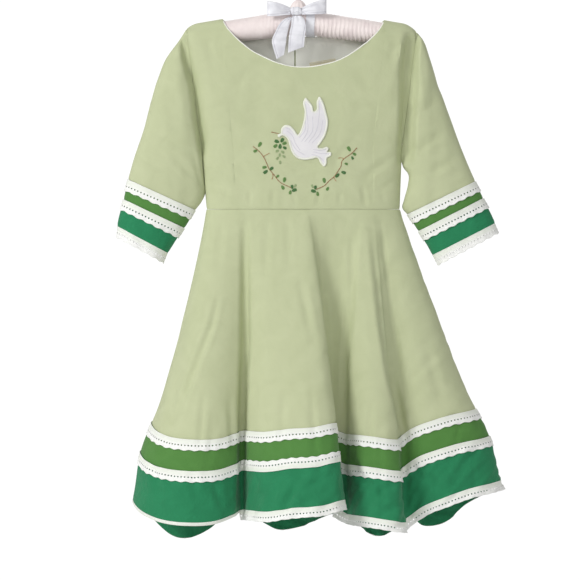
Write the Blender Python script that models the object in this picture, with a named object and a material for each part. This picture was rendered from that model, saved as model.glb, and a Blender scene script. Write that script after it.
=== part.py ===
"""Child's Irish dance dress in sage cotton, hung on a padded satin hanger.

The origin is the inside top of the hanger's hook. +Z is up and the front faces
-Y. Left and right are as seen from the front, so left is -X. Every size is in
millimetres, and add_solid turns the finished points into metres.

Each cloth piece is a thin wall made from a grid of points on the garment's
outer face: rows run up or down the piece and columns run across or round it.
"""
import math
from collections import namedtuple

import bmesh
import bpy
import numpy as np

MM = 0.001

# Cloth walls and the gaps between pieces
WALL = 1.2
LACE_WALL = 1.0
LINING_WALL = 1.0
SEAM_GAP = 0.3
LAY_GAP = 0.3
LACE_WIDTH = 13.0

# Padded hanger
HOOK_INNER_RADIUS = 20.0
HOOK_WIRE_RADIUS = 1.6
BAR_HALF_LENGTH = 138.0
BAR_RADIUS = 16.0
BAR_END_THINNING = 3.5
BAR_END_CAP = 14.0
BAR_TOP = -74.5
BAR_SLOPE = 0.17
BAR_CROWN = 20.0
BAR_STATIONS, BAR_SIDES = 22, 16
BAR_TIP_SHARE = 0.18
HOOK_STEM_TOP = -49.5
HOOK_STEM_BEND_X, HOOK_STEM_BEND_Z = 1.5, -43.5
HOOK_START, HOOK_END, HOOK_STEP = -60, 195, 15

# Bodice
WAIST_Z = -327.7
WAIST_LEFT, WAIST_RIGHT = -119.4, 127.6
WAIST_FRONT_DEPTH, WAIST_BACK_DEPTH = 30.0, 28.0
UNDERARM_Z = -242.6
UNDERARM_LEFT, UNDERARM_RIGHT = -127.0, 130.8
SHOULDER_TIP_LEFT, SHOULDER_TIP_RIGHT = -144.8, 148.6
SHOULDER_DROP, SHOULDER_DROP_START, SHOULDER_DROP_RUN = 6.0, 130.0, 16.0
NECK_LEFT, NECK_RIGHT = -98.5, 107.0
FRONT_NECK_DROP, BACK_NECK_DROP = 61.0, 22.0
NECK_ROUNDNESS = 0.75
BODICE_SQUARENESS = 2.6
FRONT_FULLNESS, BACK_FULLNESS = 1.1, 1.14
CLOTH_ON_BAR = 3.0
ARMHOLE_DEPTH = 16.0
ARMHOLE_ROUNDNESS = 0.6
LINING_LENGTH = 62.0

# Rows of the bodice up to the underarm and above it, and columns across it
ROWS_BELOW_UNDERARM, ROWS_ABOVE_UNDERARM = 3, 10
SHOULDER_COLUMNS, HALF_NECK_COLUMNS = 3, 8
SHOULDER_CROWDING, NECK_CROWDING = 1.35, 2.2

# Skirt rows, as shares of the way from waist to hem
BAND_SEAM, EMERALD_SEAM = 0.737, 0.837
SKIRT_LENGTH = 400.0
SKIRT_ROWS = (0.0, 0.08, 0.2, 0.34, 0.48, 0.61)
COLUMNS_PER_FOLD = 2

# How square the sleeves' sections are: 1 is an ellipse, less is squarer
SLEEVE_ROUNDNESS = 0.85

# Hem of the skirt, section by section. Each row is the fold's place along the
# waist seam, its place at the hem, and how late it spreads on its way down
# (1 is a straight line, more hangs straight first).
Fold = namedtuple("Fold", "waist_x hem_x hem_y hem_z spread")
LEFT_SEAM = Fold(-119.4, -206, 12, -679, 1.15)
RIGHT_SEAM = Fold(127.6, 250, 16, -675, 1.1)
FRONT_FOLDS = (
    # left flute
    Fold(-118.4, -212, -12, -679, 1.15),
    Fold(-116.0, -203, -42, -705, 1.1),
    Fold(-110.5, -176, -70, -721, 1.0),
    Fold(-102.0, -141, -85, -725, 1.0),
    Fold(-92.0, -107, -79, -723, 1.0),
    Fold(-80.0, -82, -58, -714, 1.0),
    # sharp valley, then the broad middle panel
    Fold(-70.0, -74, -34, -710, 1.0),
    Fold(-61.0, -64, -60, -710, 1.0),
    Fold(-49.0, -42, -90, -711, 1.0),
    Fold(-31.0, -8, -105, -706, 1.0),
    Fold(-13.0, 28, -109, -703, 0.95),
    Fold(-1.0, 50, -99, -697, 0.85),
    # the panel's edge, which laps over a deep recess
    Fold(6.0, 57, -81, -696, 0.78),
    Fold(14.0, 50, -60, -699, 0.85),
    Fold(25.0, 41, -36, -704, 0.95),
    Fold(38.0, 45, -16, -708, 1.0),
    Fold(51.0, 57, -22, -714, 1.0),
    # narrow right panel
    Fold(62.0, 65, -44, -716, 1.0),
    Fold(71.0, 77, -65, -717, 1.0),
    Fold(79.0, 100, -80, -720, 1.0),
    Fold(86.0, 124, -79, -724, 1.0),
    # its edge laps over the right flute
    Fold(91.5, 135, -65, -725, 1.0),
    Fold(96.5, 132, -47, -724, 1.0),
    Fold(101.5, 138, -32, -719, 1.0),
    Fold(107.0, 156, -37, -706, 1.05),
    Fold(113.0, 184, -46, -694, 1.05),
    Fold(119.0, 214, -43, -683, 1.05),
    Fold(124.0, 240, -30, -677, 1.05),
    Fold(127.0, 255, -8, -673, 1.05),
)
BACK_FOLDS = (
    # right half of the back
    Fold(124.5, 236, 42, -690, 1.1),
    Fold(119.0, 210, 60, -706, 1.05),
    Fold(110.0, 184, 44, -728, 1.0),
    Fold(99.0, 160, 46, -732, 1.0),
    Fold(87.0, 140, 66, -722, 1.0),
    Fold(73.0, 117, 54, -740, 1.0),
    Fold(58.0, 95, 34, -744, 1.0),
    Fold(43.0, 76, 56, -730, 1.0),
    Fold(28.0, 53, 82, -716, 1.0),
    Fold(12.0, 28, 72, -722, 1.0),
    # centre back seam
    Fold(-3.3, 0, 42, -733, 1.0),
    # left half of the back
    Fold(-16.0, -24, 36, -737, 1.0),
    Fold(-32.0, -48, 60, -727, 1.0),
    Fold(-49.0, -74, 82, -716, 1.0),
    Fold(-65.0, -98, 72, -722, 1.0),
    Fold(-79.0, -120, 44, -738, 1.0),
    Fold(-92.0, -142, 32, -747, 1.0),
    Fold(-103.0, -165, 46, -743, 1.0),
    Fold(-112.0, -188, 50, -722, 1.05),
)
BACK_SEAM_FOLD = 10

# Sections down each sleeve, after the armhole: the point on the outer edge,
# the point on the inner edge, and half the sleeve's depth from front to back
Section = namedtuple("Section", "outer_x outer_z inner_x inner_z half_depth")
LEFT_SLEEVE = (
    Section(-153.0, -111.0, -129.6, -256.0, 19.0),
    Section(-171.5, -137.2, -127.6, -275.0, 21.0),
    Section(-186.7, -179.1, -125.8, -292.5, 21.0),
    Section(-200.7, -231.1, -123.9, -311.0, 21.0),
    Section(-210.8, -260.4, -126.6, -321.0, 21.0),
    Section(-219.1, -289.6, -133.4, -328.9, 21.0),
    Section(-224.8, -315.0, -147.3, -351.8, 21.0),
    Section(-233.0, -349.3, -168.3, -383.5, 20.0),
    Section(-233.7, -363.2, -174.0, -396.2, 20.0),
)
RIGHT_SLEEVE = (
    Section(157.0, -112.0, 133.6, -257.0, 19.0),
    Section(166.4, -138.4, 134.6, -273.0, 21.0),
    Section(177.8, -174.0, 138.4, -284.5, 21.0),
    Section(191.8, -212.1, 137.0, -299.0, 21.0),
    Section(205.7, -250.2, 133.0, -315.5, 21.0),
    Section(214.6, -271.8, 130.8, -325.5, 21.0),
    Section(223.5, -292.1, 137.2, -334.0, 21.0),
    Section(233.7, -313.7, 151.1, -355.6, 21.0),
    Section(248.9, -345.4, 168.9, -386.1, 20.0),
    Section(252.7, -356.9, 175.3, -398.1, 20.0),
)

# Outline of the dove, clockwise from the beak's tip, as offsets from its
# breast: how far right and how far up
DOVE_BREAST = (0.0, -222.0)
DOVE_OUTLINE = (
    (-27, 7), (-22, 11), (-19, 16), (-13, 18), (-7, 16), (-3, 9), (2, 1),
    (5, 12), (6, 24), (5, 36), (7, 39), (11, 37), (16, 28), (17, 27),
    (18, 36), (20, 42), (23, 43), (26, 38), (28, 31), (30, 22), (30, 12),
    (28, 2), (25, -7), (22, -12), (30, -13), (36, -13), (37, -17), (34, -21),
    (40, -22), (40, -27), (34, -30), (35, -36), (31, -38), (25, -33),
    (18, -28), (8, -27), (-2, -25), (-9, -19), (-13, -10), (-16, -2),
    (-20, 3),
)
DOVE_WALL = 1.0
DOVE_GRID, DOVE_CUTS = 14.0, 3

# Concealed zip at the centre back
ZIP_TAPE_WIDTH = 22.0
ZIP_TAPE_WALL = 1.0
ZIP_TAPE_SLACK = 0.6
SLIDER_WIDTH, SLIDER_HEIGHT, SLIDER_DEPTH = 7.0, 10.0, 1.6
SLIDER_BELOW_NECK = 14.0
EYE_RADIUS, EYE_WIRE, EYE_WIDTH = 1.4, 1.0, 1.6
PULL_WIDTH, PULL_LENGTH, PULL_DEPTH = 5.6, 22.0, 1.0
PULL_TOP_WIDTH, PULL_BELLY_WIDTH, PULL_FOOT_WIDTH = 4.5, 6.4, 3.4
PULL_BAR, PULL_CORNER = 1.0, 3.0
PULL_WINDOW_WIDTH, PULL_WINDOW_HEIGHT = 3.0, 3.0

# Woven label on the right half of the back lining
LABEL_LEFT, LABEL_TOP = 12.0, -137.5
LABEL_WIDTH, LABEL_HEIGHT, LABEL_WALL = 33.0, 15.0, 1.0
LABEL_TILT = 0.14
LABEL_COLUMNS = 5

# Ribbon bow: knot, loops and tails
RIBBON_WALL = 1.0
KNOT_CENTRE = (-5.0, -16.9, -75.5)
KNOT_SIZE = (14.0, 10.0, 11.0)
KNOT_BEVEL = 2.5
LOOP_Y, LOOP_BULGE = -19.4, 5.0
LOOP_NARROW, LOOP_WIDE = 9.0, 19.0
LOOP_POINTS, LOOP_START = 13, 0.14
Loop = namedtuple("Loop", "side reach rise")
LOOPS = (Loop("left", -31.0, 3.0), Loop("right", 33.0, 6.0))
TailPoint = namedtuple("TailPoint", "x y z width")
LEFT_TAIL = (
    TailPoint(-10.5, -17.8, -82.7, 10.0),
    TailPoint(-14.0, -20.0, -92.0, 16.0),
    TailPoint(-19.0, -21.5, -106.0, 20.0),
    TailPoint(-23.0, -21.0, -120.0, 21.0),
    TailPoint(-26.0, -19.0, -133.0, 21.0),
)
RIGHT_TAIL = (
    TailPoint(-3.5, -20.2, -81.7, 10.0),
    TailPoint(-3.5, -24.5, -92.0, 16.0),
    TailPoint(-3.2, -25.0, -104.0, 20.0),
    TailPoint(-3.2, -24.0, -116.0, 21.0),
    TailPoint(-3.5, -23.0, -127.0, 21.0),
)
LEFT_TAIL_LEAN, RIGHT_TAIL_LEAN = 0.28, -0.05
BAND_X, BAND_WIDTH = 13.0, 11.0

Finish = namedtuple("Finish", "colour roughness metallic")
SAGE = Finish("BFC8A0", 0.85, 0.0)
GRASS = Finish("5C9645", 0.8, 0.0)
EMERALD = Finish("1F7F4F", 0.75, 0.0)
LACE_WHITE = Finish("F0F0EC", 0.9, 0.0)
LINING_PALE = Finish("DDE0D2", 0.85, 0.0)
LABEL_CREAM = Finish("EAE0C0", 0.7, 0.0)
SATIN = Finish("F3E9EA", 0.4, 0.0)
RIBBON_GREY = Finish("D9D8DE", 0.35, 0.0)
STEEL = Finish("C8C8CA", 0.25, 1.0)
ZIP_METAL = Finish("A9B08E", 0.4, 0.6)


def clear_scene():
    """Remove every object that the start-up file holds."""
    for item in list(bpy.data.objects):
        bpy.data.objects.remove(item, do_unlink=True)


def material_for(name, finish):
    """Make a Principled material of one finish."""
    material = bpy.data.materials.new(name)
    material.use_nodes = True
    shader = material.node_tree.nodes["Principled BSDF"]
    channels = [int(finish.colour[i:i + 2], 16) / 255 for i in (0, 2, 4)]
    linear = [c / 12.92 if c <= 0.04045 else ((c + 0.055) / 1.055) ** 2.4 for c in channels]
    shader.inputs["Base Color"].default_value = (*linear, 1.0)
    shader.inputs["Roughness"].default_value = finish.roughness
    shader.inputs["Metallic"].default_value = finish.metallic
    return material


def add_solid(name, points, faces, finish, smooth=True):
    """Add one closed solid from points in millimetres, its faces turned outwards."""
    mesh = bpy.data.meshes.new(name)
    mesh.from_pydata([tuple(float(c) * MM for c in p) for p in points], [], faces)
    shape = bmesh.new()
    shape.from_mesh(mesh)
    bmesh.ops.recalc_face_normals(shape, faces=shape.faces)
    shape.to_mesh(mesh)
    shape.free()
    if smooth:
        mesh.shade_smooth()
        mesh.set_sharp_from_angle(angle=math.radians(50))
    mesh.materials.append(material_for(name, finish))
    solid = bpy.data.objects.new(name, mesh)
    bpy.context.scene.collection.objects.link(solid)
    return solid


def unit(vectors):
    """Scale vectors to length 1."""
    length = np.linalg.norm(vectors, axis=-1, keepdims=True)
    return vectors / np.maximum(length, 1e-9)


def along(points, axis, wrap):
    """Direction of the grid at each point, halfway between its two neighbours'."""
    if wrap:
        ahead = unit(np.roll(points, -1, axis) - points)
        return unit(ahead + np.roll(ahead, 1, axis))
    steps = unit(np.diff(points, axis=axis))
    first = np.take(steps, [0], axis)
    last = np.take(steps, [-1], axis)
    return unit(np.concatenate([first, steps], axis) + np.concatenate([steps, last], axis))


def grid_normals(points, wrap=False, flip=False):
    """Outward direction at each point of a grid of rows by columns."""
    across = along(points, 1, wrap)
    down = along(points, 0, False)
    normals = unit(np.cross(across, down))
    return -normals if flip else normals


def curve_at(rows, gaps, places, closed):
    """Read a smooth curve through the rows at places counted in steps from the first row."""
    rows = np.asarray(rows, float)
    gaps = np.asarray(gaps, float)[:, None]
    if closed:
        rows = np.vstack([rows, rows[:1]])
    slopes = np.diff(rows, axis=0) / gaps
    inner = (slopes[:-1] * gaps[1:] + slopes[1:] * gaps[:-1]) / (gaps[:-1] + gaps[1:])
    first, last = slopes[:1], slopes[-1:]
    if closed:
        first = last = (slopes[-1:] * gaps[:1] + slopes[:1] * gaps[-1:]) / (gaps[:1] + gaps[-1:])
    tangents = np.vstack([first, inner, last])
    places = np.asarray(places, float)
    step = np.minimum(places.astype(int), len(gaps) - 1)
    t = (places - step)[:, None]
    return (rows[step] * (2 * t**3 - 3 * t**2 + 1) + rows[step + 1] * (3 * t**2 - 2 * t**3)
            + tangents[step] * gaps[step] * (t**3 - 2 * t**2 + t)
            + tangents[step + 1] * gaps[step] * (t**3 - t**2))


def pulled_in(points, edges):
    """Draw the named edges of a grid in by half a seam gap.

    The edges are any of first, last, left and right: rows, then columns.
    """
    points = points.copy()
    pairs = {"first": (np.s_[0], np.s_[1]), "last": (np.s_[-1], np.s_[-2]),
             "left": (np.s_[:, 0], np.s_[:, 1]), "right": (np.s_[:, -1], np.s_[:, -2])}
    for edge in edges:
        outer, inner = pairs[edge]
        points[outer] += unit(points[inner] - points[outer]) * SEAM_GAP / 2
    return points


def cloth_wall(name, points, normals, finish, thick=WALL, lift=0.0, wrap=False, turn_at=None):
    """Make a closed wall: its outer face is the grid, moved out by lift.

    Each cell of the grid is two triangles. Their shared edge leans the other
    way from column turn_at on, so that the cloth bends alike on both sides.
    """
    rows, columns = points.shape[:2]
    outer = (points + normals * lift).reshape(-1, 3)
    inner = (points + normals * (lift - thick)).reshape(-1, 3)
    size = rows * columns
    spans = columns if wrap else columns - 1
    faces = []

    def at(row, column):
        return row * columns + column % columns

    for row in range(rows - 1):
        for column in range(spans):
            a, b = at(row, column), at(row, column + 1)
            c, d = at(row + 1, column + 1), at(row + 1, column)
            if turn_at is not None and column >= turn_at:
                a, b, c, d = b, c, d, a
            faces += [(a, b, c), (a, c, d), (size + c, size + b, size + a), (size + d, size + c, size + a)]
    for row in (0, rows - 1):
        for column in range(spans):
            a, b = at(row, column), at(row, column + 1)
            faces.append((a, b, size + b, size + a))
    if not wrap:
        for column in (0, columns - 1):
            for row in range(rows - 1):
                a, b = at(row, column), at(row + 1, column)
                faces.append((a, b, size + b, size + a))
    return add_solid(name, np.vstack([outer, inner]), faces, finish)


def bar_radius(x):
    """Radius of the padded bar without its rounded ends."""
    return BAR_RADIUS - BAR_END_THINNING * (x / BAR_HALF_LENGTH) ** 2


def bar_axis_z(x):
    """Height of the padded bar's middle."""
    top = BAR_TOP - BAR_SLOPE * (math.hypot(x, BAR_CROWN) - BAR_CROWN)
    return top - bar_radius(x)


def shoulder_radius(x):
    """Outer radius of the cloth that bends over the bar."""
    return bar_radius(x) + CLOTH_ON_BAR


def shoulder_axis_z(x):
    """Height that the cloth bends round, lower past the bar's ends."""
    past = max(0.0, (abs(x) - SHOULDER_DROP_START) / SHOULDER_DROP_RUN)
    return bar_axis_z(x) - SHOULDER_DROP * past**2


def crest_z(x):
    """Height of the shoulder line."""
    return shoulder_axis_z(x) + shoulder_radius(x)


def neck_z(x, drop):
    """Height of a neckline that dips by drop below the line between the neck points."""
    share = (x - NECK_LEFT) / (NECK_RIGHT - NECK_LEFT)
    level = crest_z(NECK_LEFT) * (1 - share) + crest_z(NECK_RIGHT) * share
    return level - drop * (1 - (2 * share - 1) ** 2) ** NECK_ROUNDNESS


def chest_depth(z, side, x):
    """Depth of the bodice at its middle, below the bar."""
    waist = WAIST_FRONT_DEPTH if side < 0 else WAIST_BACK_DEPTH
    top = shoulder_axis_z(x)
    share = min(1.0, max(0.0, (top - z) / (top - WAIST_Z)))
    swell = share**0.8 if side < 0 else share
    full = FRONT_FULLNESS if side < 0 else BACK_FULLNESS
    return shoulder_radius(x) * full * (1 - swell) + waist * swell


def bodice_shares(centre):
    """Columns across the bodice as shares of its width, with the neck points among them."""
    width = SHOULDER_TIP_RIGHT - SHOULDER_TIP_LEFT
    neck_left = (NECK_LEFT - SHOULDER_TIP_LEFT) / width
    neck_right = (NECK_RIGHT - SHOULDER_TIP_LEFT) / width
    turn = np.linspace(0, 1, SHOULDER_COLUMNS + 1) ** SHOULDER_CROWDING
    left = turn * neck_left
    right = 1 - turn[::-1] * (1 - neck_right)
    inwards = np.linspace(0, 1, HALF_NECK_COLUMNS + 1) ** NECK_CROWDING
    from_left = neck_left + (centre - neck_left) * inwards
    from_right = neck_right - (neck_right - centre) * inwards[::-1]
    return np.concatenate([left, from_left[1:], from_right[1:], right[1:]])


def armhole_rise(step):
    """Height share and depth share on the armhole, from underarm 0 to shoulder tip 1."""
    return (1 - math.cos(math.pi * step)) / 2, math.sin(math.pi * step) ** ARMHOLE_ROUNDNESS


def bodice_column_top(x, side):
    """Top of a column: the shoulder line or the neckline."""
    if NECK_LEFT < x < NECK_RIGHT:
        return neck_z(x, FRONT_NECK_DROP if side < 0 else BACK_NECK_DROP)
    return crest_z(x)


def bodice_grid(side, centre=0.5):
    """Points of the bodice's front (side -1) or back (side +1), waist row first."""
    shares = bodice_shares(centre)
    grid = []
    for row in range(ROWS_BELOW_UNDERARM + ROWS_ABOVE_UNDERARM + 1):
        below = min(1.0, row / ROWS_BELOW_UNDERARM)
        step = max(0.0, (row - ROWS_BELOW_UNDERARM) / ROWS_ABOVE_UNDERARM)
        grid.append([bodice_point(share, side, below, step) for share in shares])
    return np.array(grid)


def bodice_point(share, side, below, step):
    """One point of the bodice, on its column from the waist to the top edge.

    below runs from 0 at the waist to 1 at the underarm, and step from 0 at the
    underarm to 1 at the top edge.
    """
    rise, edge_share = armhole_rise(step)
    left = WAIST_LEFT + (UNDERARM_LEFT - WAIST_LEFT) * below + (SHOULDER_TIP_LEFT - UNDERARM_LEFT) * rise
    right = WAIST_RIGHT + (UNDERARM_RIGHT - WAIST_RIGHT) * below + (SHOULDER_TIP_RIGHT - UNDERARM_RIGHT) * rise
    x = left + (right - left) * share
    edge_depth = ARMHOLE_DEPTH * edge_share
    column_x = SHOULDER_TIP_LEFT + (SHOULDER_TIP_RIGHT - SHOULDER_TIP_LEFT) * share
    if share in (0.0, 1.0):
        z = WAIST_Z + (UNDERARM_Z - WAIST_Z) * below + (crest_z(column_x) - UNDERARM_Z) * rise
        return x, side * edge_depth, z
    axis, radius = shoulder_axis_z(column_x), shoulder_radius(column_x)
    top = bodice_column_top(column_x, side)
    over = radius * math.asin(min(1.0, max(0.0, (top - axis) / radius)))
    length = min(top, axis) - WAIST_Z + over
    underarm_share = (UNDERARM_Z - WAIST_Z) / (axis - WAIST_Z + radius * math.pi / 2)
    run = length * (underarm_share * below + (1 - underarm_share) * rise)
    bend = max(0.0, run - (axis - WAIST_Z)) / radius
    if bend > 0:
        z = axis + radius * math.sin(bend)
        depth = radius * math.cos(bend) * (FRONT_FULLNESS if side < 0 else BACK_FULLNESS)
    else:
        z = WAIST_Z + run
        depth = chest_depth(z, side, column_x)
    edge_depth = min(edge_depth, depth)
    return x, side * (edge_depth + (depth - edge_depth) * side_rounding(2 * share - 1)), z


def side_rounding(across):
    """Share of the full depth at a place across the body, from -1 to 1."""
    return max(0.0, 1 - abs(across) ** BODICE_SQUARENESS) ** (1 / BODICE_SQUARENESS)


def waist_y(x, side):
    """Depth of the waist seam at x."""
    middle, half = (WAIST_LEFT + WAIST_RIGHT) / 2, (WAIST_RIGHT - WAIST_LEFT) / 2
    depth = WAIST_FRONT_DEPTH if side < 0 else WAIST_BACK_DEPTH
    return side * depth * side_rounding((x - middle) / half)


def chest_point(x, z):
    """The point of the front's outer face at x and z, on the chest."""
    share = (UNDERARM_Z - z) / (UNDERARM_Z - WAIST_Z)
    left = UNDERARM_LEFT + (WAIST_LEFT - UNDERARM_LEFT) * max(0.0, share)
    right = UNDERARM_RIGHT + (WAIST_RIGHT - UNDERARM_RIGHT) * max(0.0, share)
    across = 2 * (x - left) / (right - left) - 1
    return x, -chest_depth(z, -1, x) * side_rounding(across), z


def skirt_grid():
    """Points of the whole skirt, waist row first, round from the left side seam by the front."""
    folds = (LEFT_SEAM, *FRONT_FOLDS, RIGHT_SEAM, *BACK_FOLDS)
    front_steps = len(FRONT_FOLDS) + 1
    table = np.array([(waist_y(fold.waist_x, -1 if place <= front_steps else 1), *fold)
                      for place, fold in enumerate(folds)])
    hem = table[:, 2:4]
    gaps = np.linalg.norm(np.roll(hem, -1, 0) - hem, axis=1)
    places = np.arange(len(folds) * COLUMNS_PER_FOLD) / COLUMNS_PER_FOLD
    start_y, waist_x, hem_x, hem_y, hem_z, spread = curve_at(table, gaps, places, closed=True).T
    lace = LACE_WIDTH / SKIRT_LENGTH
    shares = (*SKIRT_ROWS, BAND_SEAM, BAND_SEAM + lace, EMERALD_SEAM, EMERALD_SEAM + lace, 1.0, 1.0 + lace)
    grid = []
    for share in shares:
        out = share**spread
        grid.append(np.stack([waist_x + (hem_x - waist_x) * out, start_y + (hem_y - start_y) * out,
                              WAIST_Z + (hem_z - WAIST_Z) * share], 1))
    return np.array(grid)


def sleeve_grid(sections, tip_x, underarm_x):
    """Points of one sleeve, armhole row first, and the row at each of its last four sections."""
    gap = math.copysign(SEAM_GAP, tip_x)
    armhole = Section(tip_x + gap, crest_z(tip_x), underarm_x + gap, UNDERARM_Z, ARMHOLE_DEPTH)
    table = np.array((armhole, *sections), float)
    middles = np.stack([(table[:, 0] + table[:, 2]) / 2, (table[:, 1] + table[:, 3]) / 2], 1)
    gaps = np.linalg.norm(np.diff(middles, axis=0), axis=1)
    band = len(sections) - 3
    lace_steps = [LACE_WIDTH / gap for gap in gaps[band:band + 2]]
    places = [0, 0.5, *range(1, band + 1), band + lace_steps[0], band + 1,
              band + 1 + lace_steps[1], band + 2, band + 3]
    half = ROWS_ABOVE_UNDERARM
    grid = []
    for place, row in zip(places, curve_at(table, gaps, places, closed=False)):
        outer_x, outer_z, inner_x, inner_z, depth = row
        roundness = ARMHOLE_ROUNDNESS + (SLEEVE_ROUNDNESS - ARMHOLE_ROUNDNESS) * min(1.0, place)
        line = []
        for column in range(2 * half):
            turn = math.pi * column / half
            toward = (1 + math.cos(turn)) / 2
            swell = abs(math.sin(turn)) ** roundness if column % half else 0.0
            side = -1 if column < half else 1
            line.append((inner_x + (outer_x - inner_x) * toward, side * depth * swell,
                         inner_z + (outer_z - inner_z) * toward))
        grid.append(line)
    return np.array(grid)


def tube_normals(points):
    """Outward normals of a grid that runs round a sleeve."""
    normals = grid_normals(points, wrap=True)
    middles = points.mean(axis=1, keepdims=True)
    inwards = np.sum(normals * (points - middles)) < 0
    return -normals if inwards else normals


def share_normals(*slots):
    """Give the normals in several slots their mean, so that the walls meet in a mitre."""
    mean = unit(sum(normals[index] for normals, index in slots))
    for normals, index in slots:
        normals[index] = mean


def slide_along(line, start, distance):
    """The point at a distance from one point of a row, along the row's edges."""
    step = 1 if distance > 0 else -1
    left = abs(distance)
    index = start
    while True:
        ahead = index + step
        length = float(np.linalg.norm(line[ahead][:3] - line[index][:3]))
        if left <= length:
            return line[index] + (line[ahead] - line[index]) * left / length
        left -= length
        index = ahead


class Garment:
    """Grids and shared normals of the bodice, sleeves and skirt."""

    def __init__(self):
        self.centre_back = (BACK_FOLDS[BACK_SEAM_FOLD].waist_x - WAIST_LEFT) / (WAIST_RIGHT - WAIST_LEFT)
        self.front, self.back = bodice_grid(-1), bodice_grid(1, self.centre_back)
        self.front_normals = grid_normals(self.front)
        self.back_normals = grid_normals(self.back, flip=True)
        self.centre = SHOULDER_COLUMNS + HALF_NECK_COLUMNS
        self.sleeves = {"left": sleeve_grid(LEFT_SLEEVE, SHOULDER_TIP_LEFT, UNDERARM_LEFT),
                        "right": sleeve_grid(RIGHT_SLEEVE, SHOULDER_TIP_RIGHT, UNDERARM_RIGHT)}
        self.sleeve_normals = {side: tube_normals(grid) for side, grid in self.sleeves.items()}
        self.skirt = skirt_grid()
        self.skirt_normals = grid_normals(self.skirt, wrap=True, flip=True)
        self.skirt_normals[0, :, 2] = 0.0
        self.skirt_normals[0] = unit(self.skirt_normals[0])
        self.mitre_bodice()

    def mitre_bodice(self):
        """Share normals along the side, shoulder, armhole and waist seams."""
        front, back = self.front_normals, self.back_normals
        for normals in (front, back):
            normals[0, :, 2] = 0.0
            normals[0] = unit(normals[0])
        last = front.shape[0] - 1
        shoulder = range(SHOULDER_COLUMNS + 1)
        for column in (*shoulder, *(-1 - c for c in shoulder)):
            share_normals((front, (last, column)), (back, (last, column)))
        for column in (0, -1):
            for row in range(ROWS_BELOW_UNDERARM + 1):
                share_normals((front, (row, column)), (back, (row, column)))
        half = ROWS_ABOVE_UNDERARM
        for side, column in (("left", 0), ("right", -1)):
            sleeve = self.sleeve_normals[side]
            for place in range(half + 1):
                row = last - place
                share_normals((sleeve, (0, place)), (front, (row, column)))
                if place in (0, half):
                    back[row, column] = front[row, column]
                else:
                    share_normals((sleeve, (0, 2 * half - place)), (back, (row, column)))


def build_bodice(garment):
    """Front, two backs and the pale back lining inside the neck."""
    edges = ("first", "last", "left", "right")
    centre = garment.centre
    cloth_wall("bodice_front", pulled_in(garment.front, edges), garment.front_normals, SAGE, turn_at=centre)
    halves = {"left": np.s_[:, :centre + 1], "right": np.s_[:, centre:]}
    for side, part in halves.items():
        cloth_wall(f"bodice_back_{side}", pulled_in(garment.back[part], edges), garment.back_normals[part],
                   SAGE, turn_at=None if side == "left" else 0)
    top_rows = [row for row in range(garment.back.shape[0])
                if garment.back[row, centre, 2] > garment.back[-1, centre, 2] - LINING_LENGTH]
    for side, columns in (("left", range(SHOULDER_COLUMNS, centre)),
                          ("right", range(centre + 1, 2 * centre - SHOULDER_COLUMNS + 1))):
        points, normals = beside_zip(garment, top_rows, columns, side)
        cloth_wall(f"neck_lining_{side}", pulled_in(points, edges), normals, LINING_PALE,
                   thick=LINING_WALL, lift=-(WALL + LAY_GAP), turn_at=None if side == "left" else 0)


def beside_zip(garment, rows, columns, side):
    """Grid of the lining on one side, whose inner column runs beside the zip's tape."""
    both = np.concatenate([garment.back, garment.back_normals], 2)[rows]
    offset = ZIP_TAPE_WIDTH / 2 * (-1 if side == "left" else 1)
    seam = np.array([slide_along(line, garment.centre, offset) for line in both])[:, None]
    rest = both[:, list(columns)]
    grid = np.concatenate([rest, seam] if side == "left" else [seam, rest], 1)
    return grid[..., :3], unit(grid[..., 3:])


def build_sleeves(garment):
    """Sleeve, two bands and three laces on each side."""
    for side, grid in garment.sleeves.items():
        normals = garment.sleeve_normals[side]
        cuff = grid.shape[0] - 2
        emerald, band = cuff - 2, cuff - 4
        pieces = (("sleeve", 0, band, SAGE), ("sleeve_band", band, emerald, GRASS),
                  ("sleeve_emerald", emerald, cuff, EMERALD))
        for name, first, last, finish in pieces:
            rows = np.s_[first:last + 1]
            edges = ("last",) if name == "sleeve" else ("first", "last")
            cloth_wall(f"{name}_{side}", pulled_in(grid[rows], edges), normals[rows], finish, wrap=True)
        for name, first in (("sleeve_lace_upper", band), ("sleeve_lace_lower", emerald)):
            rows = np.s_[first:first + 2]
            cloth_wall(f"{name}_{side}", pulled_in(grid[rows], ("first",)), normals[rows], LACE_WHITE,
                       thick=LACE_WALL, lift=LAY_GAP + LACE_WALL, wrap=True)
        rows = np.s_[cuff:cuff + 2]
        cloth_wall(f"cuff_lace_{side}", pulled_in(grid[rows], ("first",)), normals[rows], LACE_WHITE,
                   thick=LACE_WALL, wrap=True)


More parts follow.
